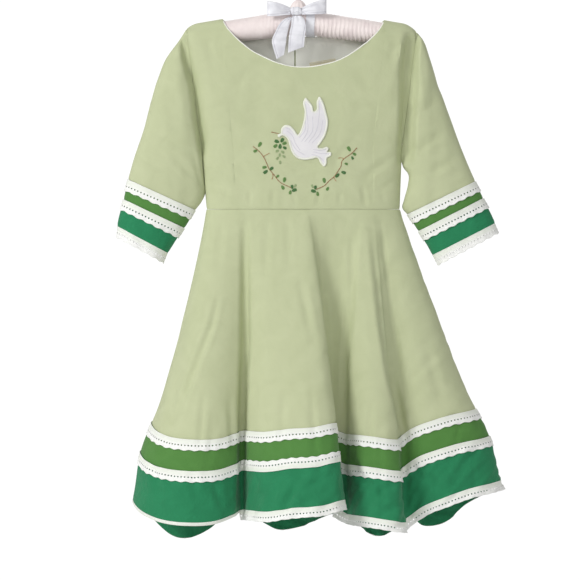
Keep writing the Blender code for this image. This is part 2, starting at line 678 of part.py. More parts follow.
def build_skirt(garment):
    """Sage panels, two bands and three laces, front and back."""
    sage_last = len(SKIRT_ROWS)
    emerald, hem = sage_last + 2, sage_last + 4
    right = (len(FRONT_FOLDS) + 1) * COLUMNS_PER_FOLD
    middle = right + (BACK_SEAM_FOLD + 1) * COLUMNS_PER_FOLD
    whole = np.concatenate([garment.skirt, garment.skirt[:, :1]], 1)
    whole_normals = np.concatenate([garment.skirt_normals, garment.skirt_normals[:, :1]], 1)
    end = whole.shape[1] - 1

    def piece(name, rows, columns, finish, **wall):
        """One wall between two rows and two columns of the skirt."""
        part = np.s_[rows[0]:rows[1] + 1, columns[0]:columns[1] + 1]
        cloth_wall(name, pulled_in(whole[part], ("first", "last", "left", "right")),
                   whole_normals[part], finish, **wall)

    piece("skirt_front", (0, sage_last), (0, right), SAGE)
    piece("skirt_back_right", (0, sage_last), (right, middle), SAGE)
    piece("skirt_back_left", (0, sage_last), (middle, end), SAGE)
    for half, columns in (("front", (0, right)), ("back", (right, end))):
        piece(f"skirt_band_{half}", (sage_last, emerald), columns, GRASS)
        piece(f"skirt_emerald_{half}", (emerald, hem), columns, EMERALD)
        on_top = {"thick": LACE_WALL, "lift": LAY_GAP + LACE_WALL}
        piece(f"skirt_lace_upper_{half}", (sage_last, sage_last + 1), columns, LACE_WHITE, **on_top)
        piece(f"skirt_lace_lower_{half}", (emerald, emerald + 1), columns, LACE_WHITE, **on_top)
        piece(f"hem_lace_{half}", (hem, hem + 1), columns, LACE_WHITE, thick=LACE_WALL)


def build_dove():
    """White dove applique, cut flat and laid on the chest."""
    breast_x, breast_z = DOVE_BREAST
    shape = bmesh.new()
    corners = [shape.verts.new((breast_x + x, 0.0, breast_z + z)) for x, z in DOVE_OUTLINE]
    shape.faces.new(corners)
    for axis, middle in ((0, breast_x), (2, breast_z)):
        for cut in range(-DOVE_CUTS, DOVE_CUTS + 1):
            place, normal = [0.0, 0.0, 0.0], [0.0, 0.0, 0.0]
            place[axis], normal[axis] = middle + cut * DOVE_GRID, 1.0
            bmesh.ops.bisect_plane(shape, geom=shape.verts[:] + shape.edges[:] + shape.faces[:],
                                   plane_co=place, plane_no=normal)
    bmesh.ops.triangulate(shape, faces=shape.faces[:])
    shape.verts.ensure_lookup_table()
    size = len(shape.verts)
    flat = np.array([chest_point(v.co.x, v.co.z) for v in shape.verts])
    points = np.vstack([flat - (0, LAY_GAP + DOVE_WALL, 0), flat - (0, LAY_GAP, 0)])
    faces = []
    for face in shape.faces:
        ring = [v.index for v in face.verts]
        faces += [tuple(ring), tuple(size + i for i in reversed(ring))]
    for edge in shape.edges:
        if len(edge.link_faces) == 1:
            a, b = (v.index for v in edge.verts)
            faces.append((a, b, size + b, size + a))
    shape.free()
    add_solid("dove_applique", points, faces, LACE_WHITE, smooth=False)


def box_corners(low, high):
    """Corners and faces of a box between two corners."""
    points = [(x, y, z) for z in (low[2], high[2]) for y in (low[1], high[1]) for x in (low[0], high[0])]
    faces = [(0, 1, 3, 2), (4, 5, 7, 6), (0, 1, 5, 4), (2, 3, 7, 6), (0, 2, 6, 4), (1, 3, 7, 5)]
    return points, faces


def ring_points(centre, outer, inner, width, sides=16):
    """Points and faces of a flat ring whose axis is X."""
    points, faces = [], []
    for k in range(sides):
        turn = 2 * math.pi * k / sides
        for radius, x in ((outer, -width / 2), (outer, width / 2), (inner, width / 2), (inner, -width / 2)):
            points.append((centre[0] + x, centre[1] + radius * math.cos(turn), centre[2] + radius * math.sin(turn)))
        here, ahead = 4 * k, 4 * ((k + 1) % sides)
        for corner in range(4):
            following = (corner + 1) % 4
            faces.append((here + corner, here + following, ahead + following, ahead + corner))
    return points, faces


def build_zip(garment):
    """Tape behind the centre back opening, slider outside it and the pull tab in its eye."""
    centre = garment.centre
    bodice = np.concatenate([garment.back, garment.back_normals], 2)[::-1]
    right = (len(FRONT_FOLDS) + 1) * COLUMNS_PER_FOLD
    middle = right + (BACK_SEAM_FOLD + 1) * COLUMNS_PER_FOLD
    skirt = np.concatenate([garment.skirt, garment.skirt_normals], 2)[1:4, ::-1]
    skirt_middle = garment.skirt.shape[1] - 1 - middle
    half = ZIP_TAPE_WIDTH / 2 - SEAM_GAP
    offsets = (-half, -half / 2, 0.0, half / 2, half)
    skirt[..., :3] -= skirt[..., 3:] * ZIP_TAPE_SLACK
    rows = [[slide_along(line, start, offset) for offset in offsets]
            for lines, start in ((bodice, centre), (skirt, skirt_middle)) for line in lines]
    grid = np.array(rows)
    cloth_wall("zip_tape", pulled_in(grid[..., :3], ("first",)), unit(grid[..., 3:]), LINING_PALE,
               thick=ZIP_TAPE_WALL, lift=-(WALL + LAY_GAP))
    neck = garment.back[-1, centre]
    low_z = neck[2] - SLIDER_BELOW_NECK
    column = garment.back[:, centre]
    cloth_y = float(np.interp(low_z, column[:, 2], column[:, 1]))
    x = float(np.interp(low_z, column[:, 2], column[:, 0]))
    back_y = cloth_y + LAY_GAP
    eye = (x, back_y + SLIDER_DEPTH + EYE_RADIUS + EYE_WIRE / 2, low_z + SLIDER_HEIGHT * 0.6)
    body = add_solid("zip_slider", *box_corners(
        (x - SLIDER_WIDTH / 2, back_y, low_z),
        (x + SLIDER_WIDTH / 2, back_y + SLIDER_DEPTH, low_z + SLIDER_HEIGHT)), ZIP_METAL, smooth=False)
    hoop = add_solid("zip_eye_tool", *ring_points(eye, EYE_RADIUS + EYE_WIRE, EYE_RADIUS, EYE_WIDTH), ZIP_METAL)
    hoop.hide_render = True
    hoop.display_type = "WIRE"
    union = body.modifiers.new("eye", "BOOLEAN")
    union.operation = "UNION"
    union.object = hoop
    build_pull(eye)


def build_pull(eye):
    """Pull tab, a plate with a window whose top bar lies in the slider's eye."""
    x, y, z = eye
    top, bottom = PULL_BAR / 2, PULL_BAR / 2 - PULL_LENGTH
    window_top, window_bottom = -PULL_BAR / 2, -PULL_BAR / 2 - PULL_WINDOW_HEIGHT
    right_side = [(PULL_TOP_WIDTH / 2, top), (PULL_WIDTH / 2, window_bottom),
                  (PULL_BELLY_WIDTH / 2, bottom + PULL_CORNER), (PULL_FOOT_WIDTH / 2, bottom)]
    outline = [(-right_side[0][0], top), *right_side, *((-px, pz) for px, pz in right_side[:0:-1])]
    window = PULL_WINDOW_WIDTH / 2
    hole = [(-window, window_top), (window, window_top), (window, window_bottom), (-window, window_bottom)]
    points, faces = [], []
    for depth in (-PULL_DEPTH / 2, PULL_DEPTH / 2):
        points += [(x + px, y + depth, z + pz) for px, pz in outline + hole]
    flat = [(0, 1, 9, 8), (1, 2, 10, 9), (2, 7, 11, 10), (7, 0, 8, 11), (2, 3, 6, 7), (3, 4, 5, 6)]
    back = len(outline + hole)
    for face in flat:
        faces += [face, tuple(back + i for i in reversed(face))]
    for ring in (range(len(outline)), range(len(outline), back)):
        ring = list(ring)
        for a, b in zip(ring, ring[1:] + ring[:1]):
            faces.append((a, b, back + b, back + a))
    add_solid("zip_pull", points, faces, ZIP_METAL, smooth=False)


def back_y(garment, x, z):
    """Depth of the back's outer face at x and z."""
    columns = garment.back.transpose(1, 0, 2)
    depths = [np.interp(z, column[:, 2], column[:, 1]) for column in columns]
    places = [np.interp(z, column[:, 2], column[:, 0]) for column in columns]
    return float(np.interp(x, places, depths))


def build_label(garment):
    """Blank woven label on the inside of the back lining, stitched on a little askew."""
    inside = WALL + LAY_GAP + LINING_WALL + LAY_GAP
    grid = []
    for down in (0.0, LABEL_HEIGHT):
        line = []
        for step in range(LABEL_COLUMNS):
            across = LABEL_WIDTH * step / (LABEL_COLUMNS - 1)
            x = LABEL_LEFT + across + down * LABEL_TILT
            z = LABEL_TOP + across * LABEL_TILT - down
            line.append((x, back_y(garment, x, z) - inside, z))
        grid.append(line)
    grid = np.array(grid)
    outwards = np.broadcast_to((0.0, 1.0, 0.0), grid.shape)
    cloth_wall("neck_label", grid, outwards, LABEL_CREAM, thick=LABEL_WALL)


def build_hanger():
    """Padded bar with rounded ends, and the wire hook that stands on it."""
    points, faces = [], []
    for k in range(BAR_STATIONS + 1):
        x = -BAR_HALF_LENGTH * math.cos(math.pi * k / BAR_STATIONS)
        past = max(0.0, (abs(x) - BAR_HALF_LENGTH + BAR_END_CAP) / BAR_END_CAP)
        radius = bar_radius(x) * max(BAR_TIP_SHARE, math.sqrt(max(0.0, 1 - past**2)))
        points += bar_ring(x, radius)
    for k in range(BAR_STATIONS):
        for turn in range(BAR_SIDES):
            a, b = BAR_SIDES * k + turn, BAR_SIDES * k + (turn + 1) % BAR_SIDES
            faces.append((a, b, b + BAR_SIDES, a + BAR_SIDES))
    last = BAR_SIDES * BAR_STATIONS
    faces += [tuple(range(BAR_SIDES)), tuple(last + i for i in range(BAR_SIDES))]
    add_solid("hanger_bar", points, faces, SATIN)
    radius = HOOK_INNER_RADIUS + HOOK_WIRE_RADIUS
    route = [(0, 0, BAR_TOP + SEAM_GAP), (0, 0, HOOK_STEM_TOP), (HOOK_STEM_BEND_X, 0, HOOK_STEM_BEND_Z)]
    for degrees in range(HOOK_START, HOOK_END + 1, HOOK_STEP):
        turn = math.radians(degrees)
        route.append((radius * math.cos(turn), 0, radius * math.sin(turn) - HOOK_INNER_RADIUS))
    add_rod("hanger_hook", route, HOOK_WIRE_RADIUS, STEEL)


def bar_ring(x, radius):
    """Points of one ring round the padded bar's middle line."""
    turns = [2 * math.pi * k / BAR_SIDES for k in range(BAR_SIDES)]
    return [(x, radius * math.cos(turn), bar_axis_z(x) + radius * math.sin(turn)) for turn in turns]


def add_rod(name, route, radius, finish):
    """Round rod along a route, with filled ends."""
    curve = bpy.data.curves.new(name, "CURVE")
    curve.dimensions = "3D"
    curve.bevel_depth = radius * MM
    curve.bevel_resolution = 2
    curve.use_fill_caps = True
    line = curve.splines.new("POLY")
    line.points.add(len(route) - 1)
    for point, place in zip(line.points, route):
        point.co = (*(c * MM for c in place), 1.0)
    curve.materials.append(material_for(name, finish))
    rod = bpy.data.objects.new(name, curve)
    bpy.context.scene.collection.objects.link(rod)


def ribbon(name, centres, across, widths):
    """Flat ribbon along centre points, each with the direction across it and its width."""
    centres, across = np.array(centres, float), unit(np.array(across, float))
    halves = np.array(widths, float)[:, None] / 2
    grid = np.stack([centres - across * halves, centres, centres + across * halves], 1)
    cloth_wall(name, grid, grid_normals(grid), RIBBON_GREY, thick=RIBBON_WALL, lift=RIBBON_WALL / 2)


def build_bow():
    """Bow at the foot of the hook: knot, two loops, two tails and the band round the bar."""
    corners = zip(KNOT_CENTRE, KNOT_SIZE)
    low, high = zip(*((middle - size / 2, middle + size / 2) for middle, size in corners))
    knot = add_solid("ribbon_knot", *box_corners(low, high), RIBBON_GREY)
    bevel = knot.modifiers.new("rounding", "BEVEL")
    bevel.width, bevel.segments = KNOT_BEVEL * MM, 2
    for loop in LOOPS:
        build_loop(loop)
    for side, tail, lean in (("left", LEFT_TAIL, LEFT_TAIL_LEAN), ("right", RIGHT_TAIL, RIGHT_TAIL_LEAN)):
        centres, widths = [point[:3] for point in tail], [point.width for point in tail]
        ribbon(f"ribbon_tail_{side}", centres, [(1, 0, lean)] * len(tail), widths)
    rings = [bar_ring(x, bar_radius(x) + LAY_GAP + RIBBON_WALL)
             for x in (BAND_X - BAND_WIDTH / 2, BAND_X + BAND_WIDTH / 2)]
    grid = np.array(rings)
    cloth_wall("ribbon_band", grid, tube_normals(grid), RIBBON_GREY, thick=RIBBON_WALL, wrap=True)


def build_loop(loop):
    """One loop of the bow, out from beside the knot and back again behind itself."""
    knot_x, _, knot_z = KNOT_CENTRE
    edge = knot_x + math.copysign(KNOT_SIZE[0] / 2 + LAY_GAP, loop.reach)
    centres, widths = [], []
    start = (1 - math.cos(math.pi * LOOP_START)) / 2
    for k in range(LOOP_POINTS):
        turn = math.pi * (LOOP_START + 2 * (1 - LOOP_START) * k / (LOOP_POINTS - 1))
        out = (1 - math.cos(turn)) / 2 - start
        centres.append((edge + loop.reach * out, LOOP_Y - LOOP_BULGE * math.sin(turn) * out**0.4,
                        knot_z + loop.rise * out))
        widths.append(LOOP_NARROW + (LOOP_WIDE - LOOP_NARROW) * math.sin(math.pi / 2 * min(1.0, 1.1 * out)))
    ribbon(f"ribbon_loop_{loop.side}", centres, [(0, 0, 1)] * LOOP_POINTS, widths)


def main():
    """Build every piece."""
    clear_scene()
    garment = Garment()
    build_hanger()
    build_bow()
    build_bodice(garment)
    build_label(garment)
    build_dove()
    build_zip(garment)
    build_sleeves(garment)
    build_skirt(garment)


if __name__ == "__main__":
    main()
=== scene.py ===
"""Looks of a child's Irish dance dress hung on a padded satin hanger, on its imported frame.

Shapes are worked out in millimetres and turn into metres where a mesh is made.
The front faces -Y, and left and right are as seen from the front, so left is -X.
"""

import logging
import math
from collections.abc import Sequence
from dataclasses import dataclass, field
from enum import Enum
from typing import Any, NamedTuple

import bpy
import numpy as np
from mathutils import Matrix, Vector
from mathutils.bvhtree import BVHTree
from mathutils.geometry import delaunay_2d_cdt


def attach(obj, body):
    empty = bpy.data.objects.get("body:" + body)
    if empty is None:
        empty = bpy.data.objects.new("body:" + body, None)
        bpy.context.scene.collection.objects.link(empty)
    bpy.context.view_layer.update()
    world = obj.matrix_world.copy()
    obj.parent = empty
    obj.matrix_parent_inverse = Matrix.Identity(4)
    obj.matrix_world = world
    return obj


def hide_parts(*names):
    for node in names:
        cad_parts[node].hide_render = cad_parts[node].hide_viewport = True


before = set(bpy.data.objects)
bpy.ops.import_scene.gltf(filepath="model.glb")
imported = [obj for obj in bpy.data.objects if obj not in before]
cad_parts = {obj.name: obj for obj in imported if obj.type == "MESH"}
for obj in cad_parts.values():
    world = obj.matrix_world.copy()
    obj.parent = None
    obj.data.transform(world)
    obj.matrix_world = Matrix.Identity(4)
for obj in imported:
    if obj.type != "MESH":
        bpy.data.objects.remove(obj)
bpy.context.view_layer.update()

LOG = logging.getLogger("dance_dress")
MM = 0.001
GARMENT = "garment"
UV_NAME = "cloth"
ALL_EDGES = ("first", "last", "left", "right")


class Side(Enum):
    """The two sides of the dress, as seen from the front."""

    LEFT = "left"
    RIGHT = "right"


class Hang(Enum):
    """How a sheet of cloth is held."""

    HUNG = "hung"
    STRETCHED = "stretched"
    FOLDED = "folded"
    LAID = "laid"


def linear_colour(code: str) -> tuple[float, float, float, float]:
    """Turn an sRGB hex colour into the linear colour that a shader takes.

    Args:
        code: six hex digits.

    Returns:
        The linear colour, with full opacity.
    """
    channels = [int(code[i:i + 2], 16) / 255 for i in (0, 2, 4)]
    red, green, blue = (c / 12.92 if c <= 0.04045 else ((c + 0.055) / 1.055) ** 2.4 for c in channels)
    return red, green, blue, 1.0


def add_node(tree: bpy.types.NodeTree, kind: str, inputs: dict[Any, Any] | None = None,
             **settings: Any) -> bpy.types.Node:
    """Add a node with its settings, its input values and its links.

    Args:
        tree: the tree that takes the node.
        kind: the node's type.
        inputs: an input's name or number, and the value or the socket that feeds it.
        settings: the node's own properties.

    Returns:
        The new node.
    """
    node = tree.nodes.new(kind)
    for name, value in settings.items():
        setattr(node, name, value)
    for key, value in (inputs or {}).items():
        if isinstance(value, bpy.types.NodeSocket):
            tree.links.new(value, node.inputs[key])
        else:
            node.inputs[key].default_value = value
    return node


def wave_scale(pitch: float) -> float:
    """Scale of a Wave texture whose bands are a pitch in millimetres apart."""
    return math.tau / 20 / (pitch * MM)


class Finish:
    """A new material, with short calls for the nodes that cloth, thread, satin and metal share."""

    def __init__(self, name: str, colour: str, roughness: float, **sockets: float) -> None:
        """Start from a Principled shader with constant values on its sockets.

        Args:
            name: what the material is.
            colour: sRGB hex base colour.
            roughness: the shader's roughness.
            sockets: other inputs, with an underscore for each space in their names.
        """
        self.material = bpy.data.materials.new(name)
        self.material.use_nodes = True
        self.tree = self.material.node_tree
        self.shader = self.tree.nodes["Principled BSDF"]
        self.material.diffuse_color = linear_colour(colour)
        values = {"Base Color": linear_colour(colour), "Roughness": roughness}
        values.update({key.replace("_", " "): value for key, value in sockets.items()})
        for key, value in values.items():
            self.shader.inputs[key].default_value = value
        self.tint: Any = linear_colour(colour)
        self.normal: dict[Any, Any] = {}

    def node(self, kind: str, inputs: dict[Any, Any] | None = None, output: int | str = 0,
             **settings: Any) -> bpy.types.NodeSocket:
        """Add a shader node and return one of its outputs."""
        return add_node(self.tree, "ShaderNode" + kind, inputs, **settings).outputs[output]

    def thread(self) -> bpy.types.NodeSocket:
        """The piece's own UV map, in metres along the threads."""
        return self.node("UVMap", output="UV", uv_map=UV_NAME)

    def place(self) -> bpy.types.NodeSocket:
        """Places on the object in metres."""
        return self.node("TexCoord", output="Object")

    def math(self, operation: str, *values: Any) -> bpy.types.NodeSocket:
        """One step of arithmetic."""
        return self.node("Math", dict(enumerate(values)), operation=operation)

    def noise(self, vector: Any, scale: float, detail: float, **more: float) -> bpy.types.NodeSocket:
        """Soft noise, at a scale for each metre."""
        return self.node("TexNoise", {"Vector": vector, "Scale": scale, "Detail": detail} | more, "Fac")

    def bands(self, vector: Any, pitch: float, run: str, **more: float) -> bpy.types.NodeSocket:
        """Bands a pitch in millimetres apart, along X, Y or the diagonal."""
        more = {key.replace("_", " "): value for key, value in more.items()}
        return self.node("TexWave", {"Vector": vector, "Scale": wave_scale(pitch)} | more, "Fac",
                         bands_direction=run)

    def ramp(self, value: Any, start: float, end: float, first: float, last: float) -> bpy.types.NodeSocket:
        """Turn a range of values into another, held at both ends."""
        return self.node("MapRange", {"Value": value, "From Min": start, "From Max": end,
                                      "To Min": first, "To Max": last})

    def blend(self, factor: Any, colour: str) -> None:
        """Lay a colour over the finish by a factor."""
        self.tint = self.node("Mix", {0: factor, 6: self.tint, 7: linear_colour(colour)}, 2,
                              data_type="RGBA", blend_type="MIX")

    def bump(self, height: Any, strength: float, distance: float) -> None:
        """Add relief of a distance in millimetres on top of the last."""
        inputs = {"Height": height, "Strength": strength, "Distance": distance * MM} | self.normal
        self.normal = {"Normal": self.node("Bump", inputs)}

    def done(self) -> bpy.types.Material:
        """Join the colour and the relief to the shader, and return the material."""
        self.tree.links.new(self.tint, self.shader.inputs["Base Color"])
        self.tree.links.new(self.normal["Normal"], self.shader.inputs["Normal"])
        return self.material


@dataclass(frozen=True)
class WovenCotton:
    """Plain woven cotton: matt, with a fine square weave, slubs and soft crumples from wear."""

    name: str
    colour: str
    # darker colour: broad uneven patches, and painted shade in the gaps between the threads
    shade: str
    pitch: float = 0.55
    crumple: float = 0.55
    crumple_size: float = 26.0
    roughness: float = 0.86
    sheen: float = 0.12

    def material(self) -> bpy.types.Material:
        """Make the cloth's material: threads on its UV map, crumples through space, painted shade between
        the threads.
        """
        made = Finish(self.name, self.colour, self.roughness, Sheen_Weight=self.sheen, Sheen_Roughness=0.5,
                      Specular_IOR_Level=0.25)
        thread = made.thread()
        warp, weft = (made.bands(thread, self.pitch, run, Distortion=0.6, Detail=1.0) for run in "XY")
        weave = made.math("MULTIPLY", warp, weft)
        stretch = made.node("Mapping", {"Vector": thread, "Scale": (260.0, 1400.0, 1.0)})
        slubs = made.noise(stretch, 1.0, 2.0)
        broad = made.noise(made.place(), 1 / (self.crumple_size * MM), 3.0, Roughness=0.55, Distortion=0.8)
        made.blend(made.ramp(broad, 0.35, 0.75, 0.0, 0.3), self.shade)
        # Painted shade: the gaps between the threads take the darker colour.
        made.blend(made.ramp(weave, 0.0, 0.7, 0.32, 0.0), self.shade)
        made.blend(made.ramp(slubs, 0.55, 0.8, 0.0, 0.18), self.colour)
        made.bump(broad, 0.5, self.crumple * 2)
        made.bump(slubs, 0.35, 0.1)
        made.bump(weave, 0.6, 0.12)
        return made.done()


@dataclass(frozen=True)
class EyeletCotton:
    """White cotton batiste of the edging: thin, so that its plain part takes the cloth's tint."""

    name: str
    colour: str
    tint: str
    depth: float = 13.0

    def material(self) -> bpy.types.Material:
        """Make the edging's material, whose second UV runs down the strip in metres."""
        made = Finish(self.name, self.colour, 0.85, Sheen_Weight=0.1, Sheen_Roughness=0.5,
                      Specular_IOR_Level=0.25)
        thread, deep = made.thread(), self.depth * MM
        down = made.node("SeparateXYZ", {0: thread}, "Y")
        made.blend(made.ramp(down, 0.3 * deep, 0.62 * deep, 1.0, 0.0), self.tint)
        made.blend(made.ramp(made.noise(thread, 240.0, 2.0), 0.4, 0.8, 0.0, 0.25), self.tint)
        across, along = (made.bands(thread, 0.5, run, Distortion=0.5) for run in "XY")
        made.bump(made.math("ADD", across, along), 0.4, 0.1)
        return made.done()


@dataclass(frozen=True)
class SatinStitch:
    """Rayon or cotton thread laid side by side: ribbed across its run, with a soft gloss."""

    name: str
    colour: str
    # darker colour: painted shade in the grooves between the ribs
    shade: str
    pitch: float = 0.7
    roughness: float = 0.5

    def material(self) -> bpy.types.Material:
        """Make the thread's material, with painted shade between its ribs; the ribs are drawn about twice as
        coarse as real thread.
        """
        made = Finish(self.name, self.colour, self.roughness, Sheen_Weight=0.25, Sheen_Roughness=0.35)
        ribs = made.bands(made.place(), self.pitch, "DIAGONAL", Distortion=1.5, Detail=2.0, Detail_Scale=1.5)
        # Painted shade in the grooves between the ribs.
        made.blend(made.ramp(ribs, 0.0, 1.0, 0.45, 0.0), self.shade)
        made.bump(ribs, 0.5, 0.2)
        return made.done()


@dataclass(frozen=True)
class Satin:
    """Polyester satin: smooth floats of thread along its length, with a broad soft highlight."""

    name: str
    colour: str
    # darker colour: painted shade in cloudy patches, and the woven edge lines
    shade: str
    roughness: float = 0.4
    edge_line: float = 0.0
    width: float = 21.0

    def material(self) -> bpy.types.Material:
        """Make the satin's material, with cloudy patches of painted shade; edge_line puts a woven line that
        far in from each edge.
        """
        made = Finish(self.name, self.colour, self.roughness, Sheen_Weight=0.2, Sheen_Roughness=0.3,
                      Anisotropic=0.4)
        thread = made.thread()
        # Cloudy patches of painted shade, standing in for the satin's soft shading; the same noise gives low
        # relief.
        cloud = made.noise(made.place(), 70.0, 3.0)
        made.blend(made.ramp(cloud, 0.4, 0.75, 0.0, 0.45), self.shade)
        if self.edge_line:
            half = self.width / 2
            across = made.node("SeparateXYZ", {0: thread}, "X")
            inset = made.math("ABSOLUTE", made.math("SUBTRACT", across, half * MM))
            away = made.math("ABSOLUTE", made.math("SUBTRACT", inset, (half - self.edge_line) * MM))
            made.blend(made.ramp(away, 0.25 * MM, 0.6 * MM, 0.55, 0.0), self.shade)
        made.bump(made.bands(thread, 0.45, "X", Distortion=1.0, Detail=1.0), 0.35, 0.08)
        made.bump(cloud, 0.25, 0.6)
        return made.done()


@dataclass(frozen=True)
class Metal:
    """Drawn wire or die-cast metal, with fine scratches from handling."""

    name: str
    colour: str
    worn: str
    roughness: float
    metallic: float = 1.0

    def material(self) -> bpy.types.Material:
        """Make the metal's material."""
        made = Finish(self.name, self.colour, self.roughness, Metallic=self.metallic)
        place = made.place()
        cloud = made.noise(place, 160.0, 5.0)
        made.blend(made.ramp(cloud, 0.52, 0.72, 0.0, 0.8), self.worn)
        gloss = made.ramp(cloud, 0.3, 0.75, self.roughness * 0.8, self.roughness * 1.5)
        made.tree.links.new(gloss, made.shader.inputs["Roughness"])
        made.bump(made.noise(place, 900.0, 2.0), 0.2, 0.05)
        return made.done()


# Each cotton's second colour darkens broad uneven patches and is painted shade between its threads.
SAGE = WovenCotton("sage cotton poplin", "C6CCA6", "AEB68C")
GRASS = WovenCotton("grass green cotton poplin", "598C46", "42732F")
EMERALD = WovenCotton("emerald cotton poplin", "2A885B", "176B44", crumple=1.9, crumple_size=22.0)
LINING = WovenCotton("pale cotton lawn lining", "FAFAF3", "E6E8DA", crumple=0.3)
TAPE = WovenCotton("polyester zip tape", "C3C9A4", "A0A882", pitch=1.1, crumple=0.1)
LABEL = WovenCotton("woven damask label", "EEE7CB", "D3CAA6", pitch=0.8, crumple=0.2, sheen=0.3)
EYELET = EyeletCotton("white cotton eyelet edging", "F3F3F0", "E9ECE2")
# Each thread's second colour is painted shade between its ribs.
EDGE_THREAD = SatinStitch("white satin stitch edge", "FAFAF7", "D9DBD4")
RIM_THREAD = SatinStitch("white eyelet stitching", "F6F6F2", "CFD2C8", pitch=0.5)
DOVE_CLOTH = WovenCotton("white satin applique", "ECEAEA", "CFCCD3", pitch=0.6, crumple=0.25, roughness=0.55,
                         sheen=0.3)
DOVE_THREAD = SatinStitch("cream white satin stitch", "F6F7EC", "D5D7C6", pitch=0.8)
FEATHER_THREAD = SatinStitch("pale grey feather stitch", "DAD7DE", "BEBBC6")
STEM_THREAD = SatinStitch("reddish brown stem stitch", "9C6A48", "7A4C34")
TWIG_THREAD = SatinStitch("light brown twig stitch", "B08A62", "8E6A48")
LEAF_THREAD = SatinStitch("muted green leaf stitch", "6C9450", "4A6F38", pitch=0.6)
DARK_LEAF_THREAD = SatinStitch("dark green leaf stitch", "4C7C42", "355A2D", pitch=0.6)
PALE_LEAF_THREAD = SatinStitch("light green leaf stitch", "A3B585", "839769", pitch=0.6)
# Each satin's second colour is painted shade in cloudy patches, and on the ribbon also its woven edge lines.
BAR_SATIN = Satin("cream padded hanger satin", "F3E7E4", "D6C4C5", roughness=0.42)
RIBBON = Satin("silver white satin ribbon", "EBEBF0", "A5A3AE", roughness=0.36, edge_line=2.3)
HOOK_STEEL = Metal("bright drawn steel wire", "C9C9CB", "A9A9AC", 0.24)
ZIP_ENAMEL = Metal("sage enamelled zinc", "B9C199", "8F8F86", 0.38, metallic=0.35)
COIL_NYLON = SatinStitch("sage nylon coil", "B4BC94", "8E9672", pitch=0.9, roughness=0.4)


Grid = np.ndarray


def unit(vectors: Grid) -> Grid:
    """Scale vectors to length 1."""
    length = np.linalg.norm(vectors, axis=-1, keepdims=True)
    return vectors / np.maximum(length, 1e-9)


@dataclass
class MeshParts:
    """Points in millimetres, faces, UV corners in metres and finish numbers of a mesh to be."""

    points: list[Grid] = field(default_factory=list)
    faces: list[tuple[int, ...]] = field(default_factory=list)
    corners: list[tuple[float, float]] = field(default_factory=list)
    slots: list[int] = field(default_factory=list)
    count: int = 0

    def add(self, points: Grid, faces: Sequence[Sequence[int]], corners: Sequence[Sequence[float]],
            slot: int = 0) -> None:
        """Add faces with one UV pair for each corner of each face.

        Args:
            points: the new points.
            faces: numbers among the new points.
            corners: UV pairs, in the order of the faces' corners.
            slot: the finish's number.
        """
        start = self.count
        self.points.append(np.asarray(points, float).reshape(-1, 3))
        self.count += len(self.points[-1])
        for face in faces:
            self.faces.append(tuple(start + int(i) for i in face))
            self.slots.append(slot)
        self.corners.extend((float(u), float(v)) for u, v in corners)

    def add_shell(self, outer: Grid, inner: Grid, faces: Sequence[Sequence[int]],
                  corners: Sequence[Sequence[float]], slot: int = 0) -> None:
        """Add a closed wall between an outer and an inner layer that share their faces.

        Args:
            outer: points of the outer layer.
            inner: points of the inner layer, in the same order.
            faces: faces of the outer layer, turned outwards.
            corners: UV pairs of the outer layer's faces.
            slot: the finish's number.
        """
        outer, inner = outer.reshape(-1, 3), inner.reshape(-1, 3)
        faces = [tuple(int(i) for i in face) for face in faces]
        size = len(outer)
        both, pairs, edges = list(faces), list(corners), {}
        start = 0
        for face in faces:
            length = len(face)
            uv = pairs[start:start + length]
            for k in range(length):
                a, b = face[k], face[(k + 1) % length]
                if (b, a) in edges:
                    del edges[(b, a)]
                else:
                    edges[(a, b)] = (uv[k], uv[(k + 1) % length])
            start += length
        place = 0
        under, under_pairs = [], []
        for face in faces:
            length = len(face)
            under.append(tuple(size + i for i in reversed(face)))
            under_pairs.extend(reversed(pairs[place:place + length]))
            place += length
        walls, wall_pairs = [], []
        for (a, b), (at_a, at_b) in edges.items():
            walls.append((b, a, size + a, size + b))
            wall_pairs.extend([at_b, at_a, at_a, at_b])
        self.add(np.vstack([outer, inner]), both + under + walls, pairs + under_pairs + wall_pairs, slot)

    def build(self, name: str, *materials: bpy.types.Material, sharp: float = 50.0) -> bpy.types.Object:
        """Make the mesh and its object.

        Args:
            name: the piece's name.
            materials: the finishes, in the order of their numbers.
            sharp: the angle in degrees past which an edge stays sharp.

        Returns:
            The object, at the origin.
        """
        points = np.vstack(self.points) * MM
        numbers = np.concatenate([np.array(face) for face in self.faces])
        used, places = np.unique(numbers, return_inverse=True)
        faces, start = [], 0
        for face in self.faces:
            faces.append(tuple(places[start:start + len(face)].tolist()))
            start += len(face)
        mesh = bpy.data.meshes.new(name)
        mesh.from_pydata(points[used].tolist(), [], faces)
        mesh.polygons.foreach_set("material_index", self.slots)
        layer = mesh.uv_layers.new(name=UV_NAME)
        layer.data.foreach_set("uv", np.array(self.corners, dtype=np.float32).ravel())
        mesh.shade_smooth()
        mesh.set_sharp_from_angle(angle=math.radians(sharp))
        for material in materials:
            mesh.materials.append(material)
        mesh.update()
        piece = bpy.data.objects.new(name, mesh)
        bpy.context.scene.collection.objects.link(piece)
        return piece


def grid_faces(rows: int, columns: int, closed: bool) -> tuple[Grid, Grid]:
    """Faces of a grid, and the row and column of each face's corners.

    Args:
        rows: the number of rows.
        columns: the number of columns.
        closed: whether the last column joins the first.

    Returns:
        Point numbers of each face, and (row, column) pairs; on a closed grid the columns run one past
        the last.
    """
    row, column = np.meshgrid(np.arange(rows - 1), np.arange(columns if closed else columns - 1),
                              indexing="ij")
    row, column = row.ravel(), column.ravel()
    corners = np.stack([np.stack([row, column], 1), np.stack([row, column + 1], 1),
                        np.stack([row + 1, column + 1], 1), np.stack([row + 1, column], 1)], 1)
    return corners[..., 0] * columns + corners[..., 1] % columns, corners


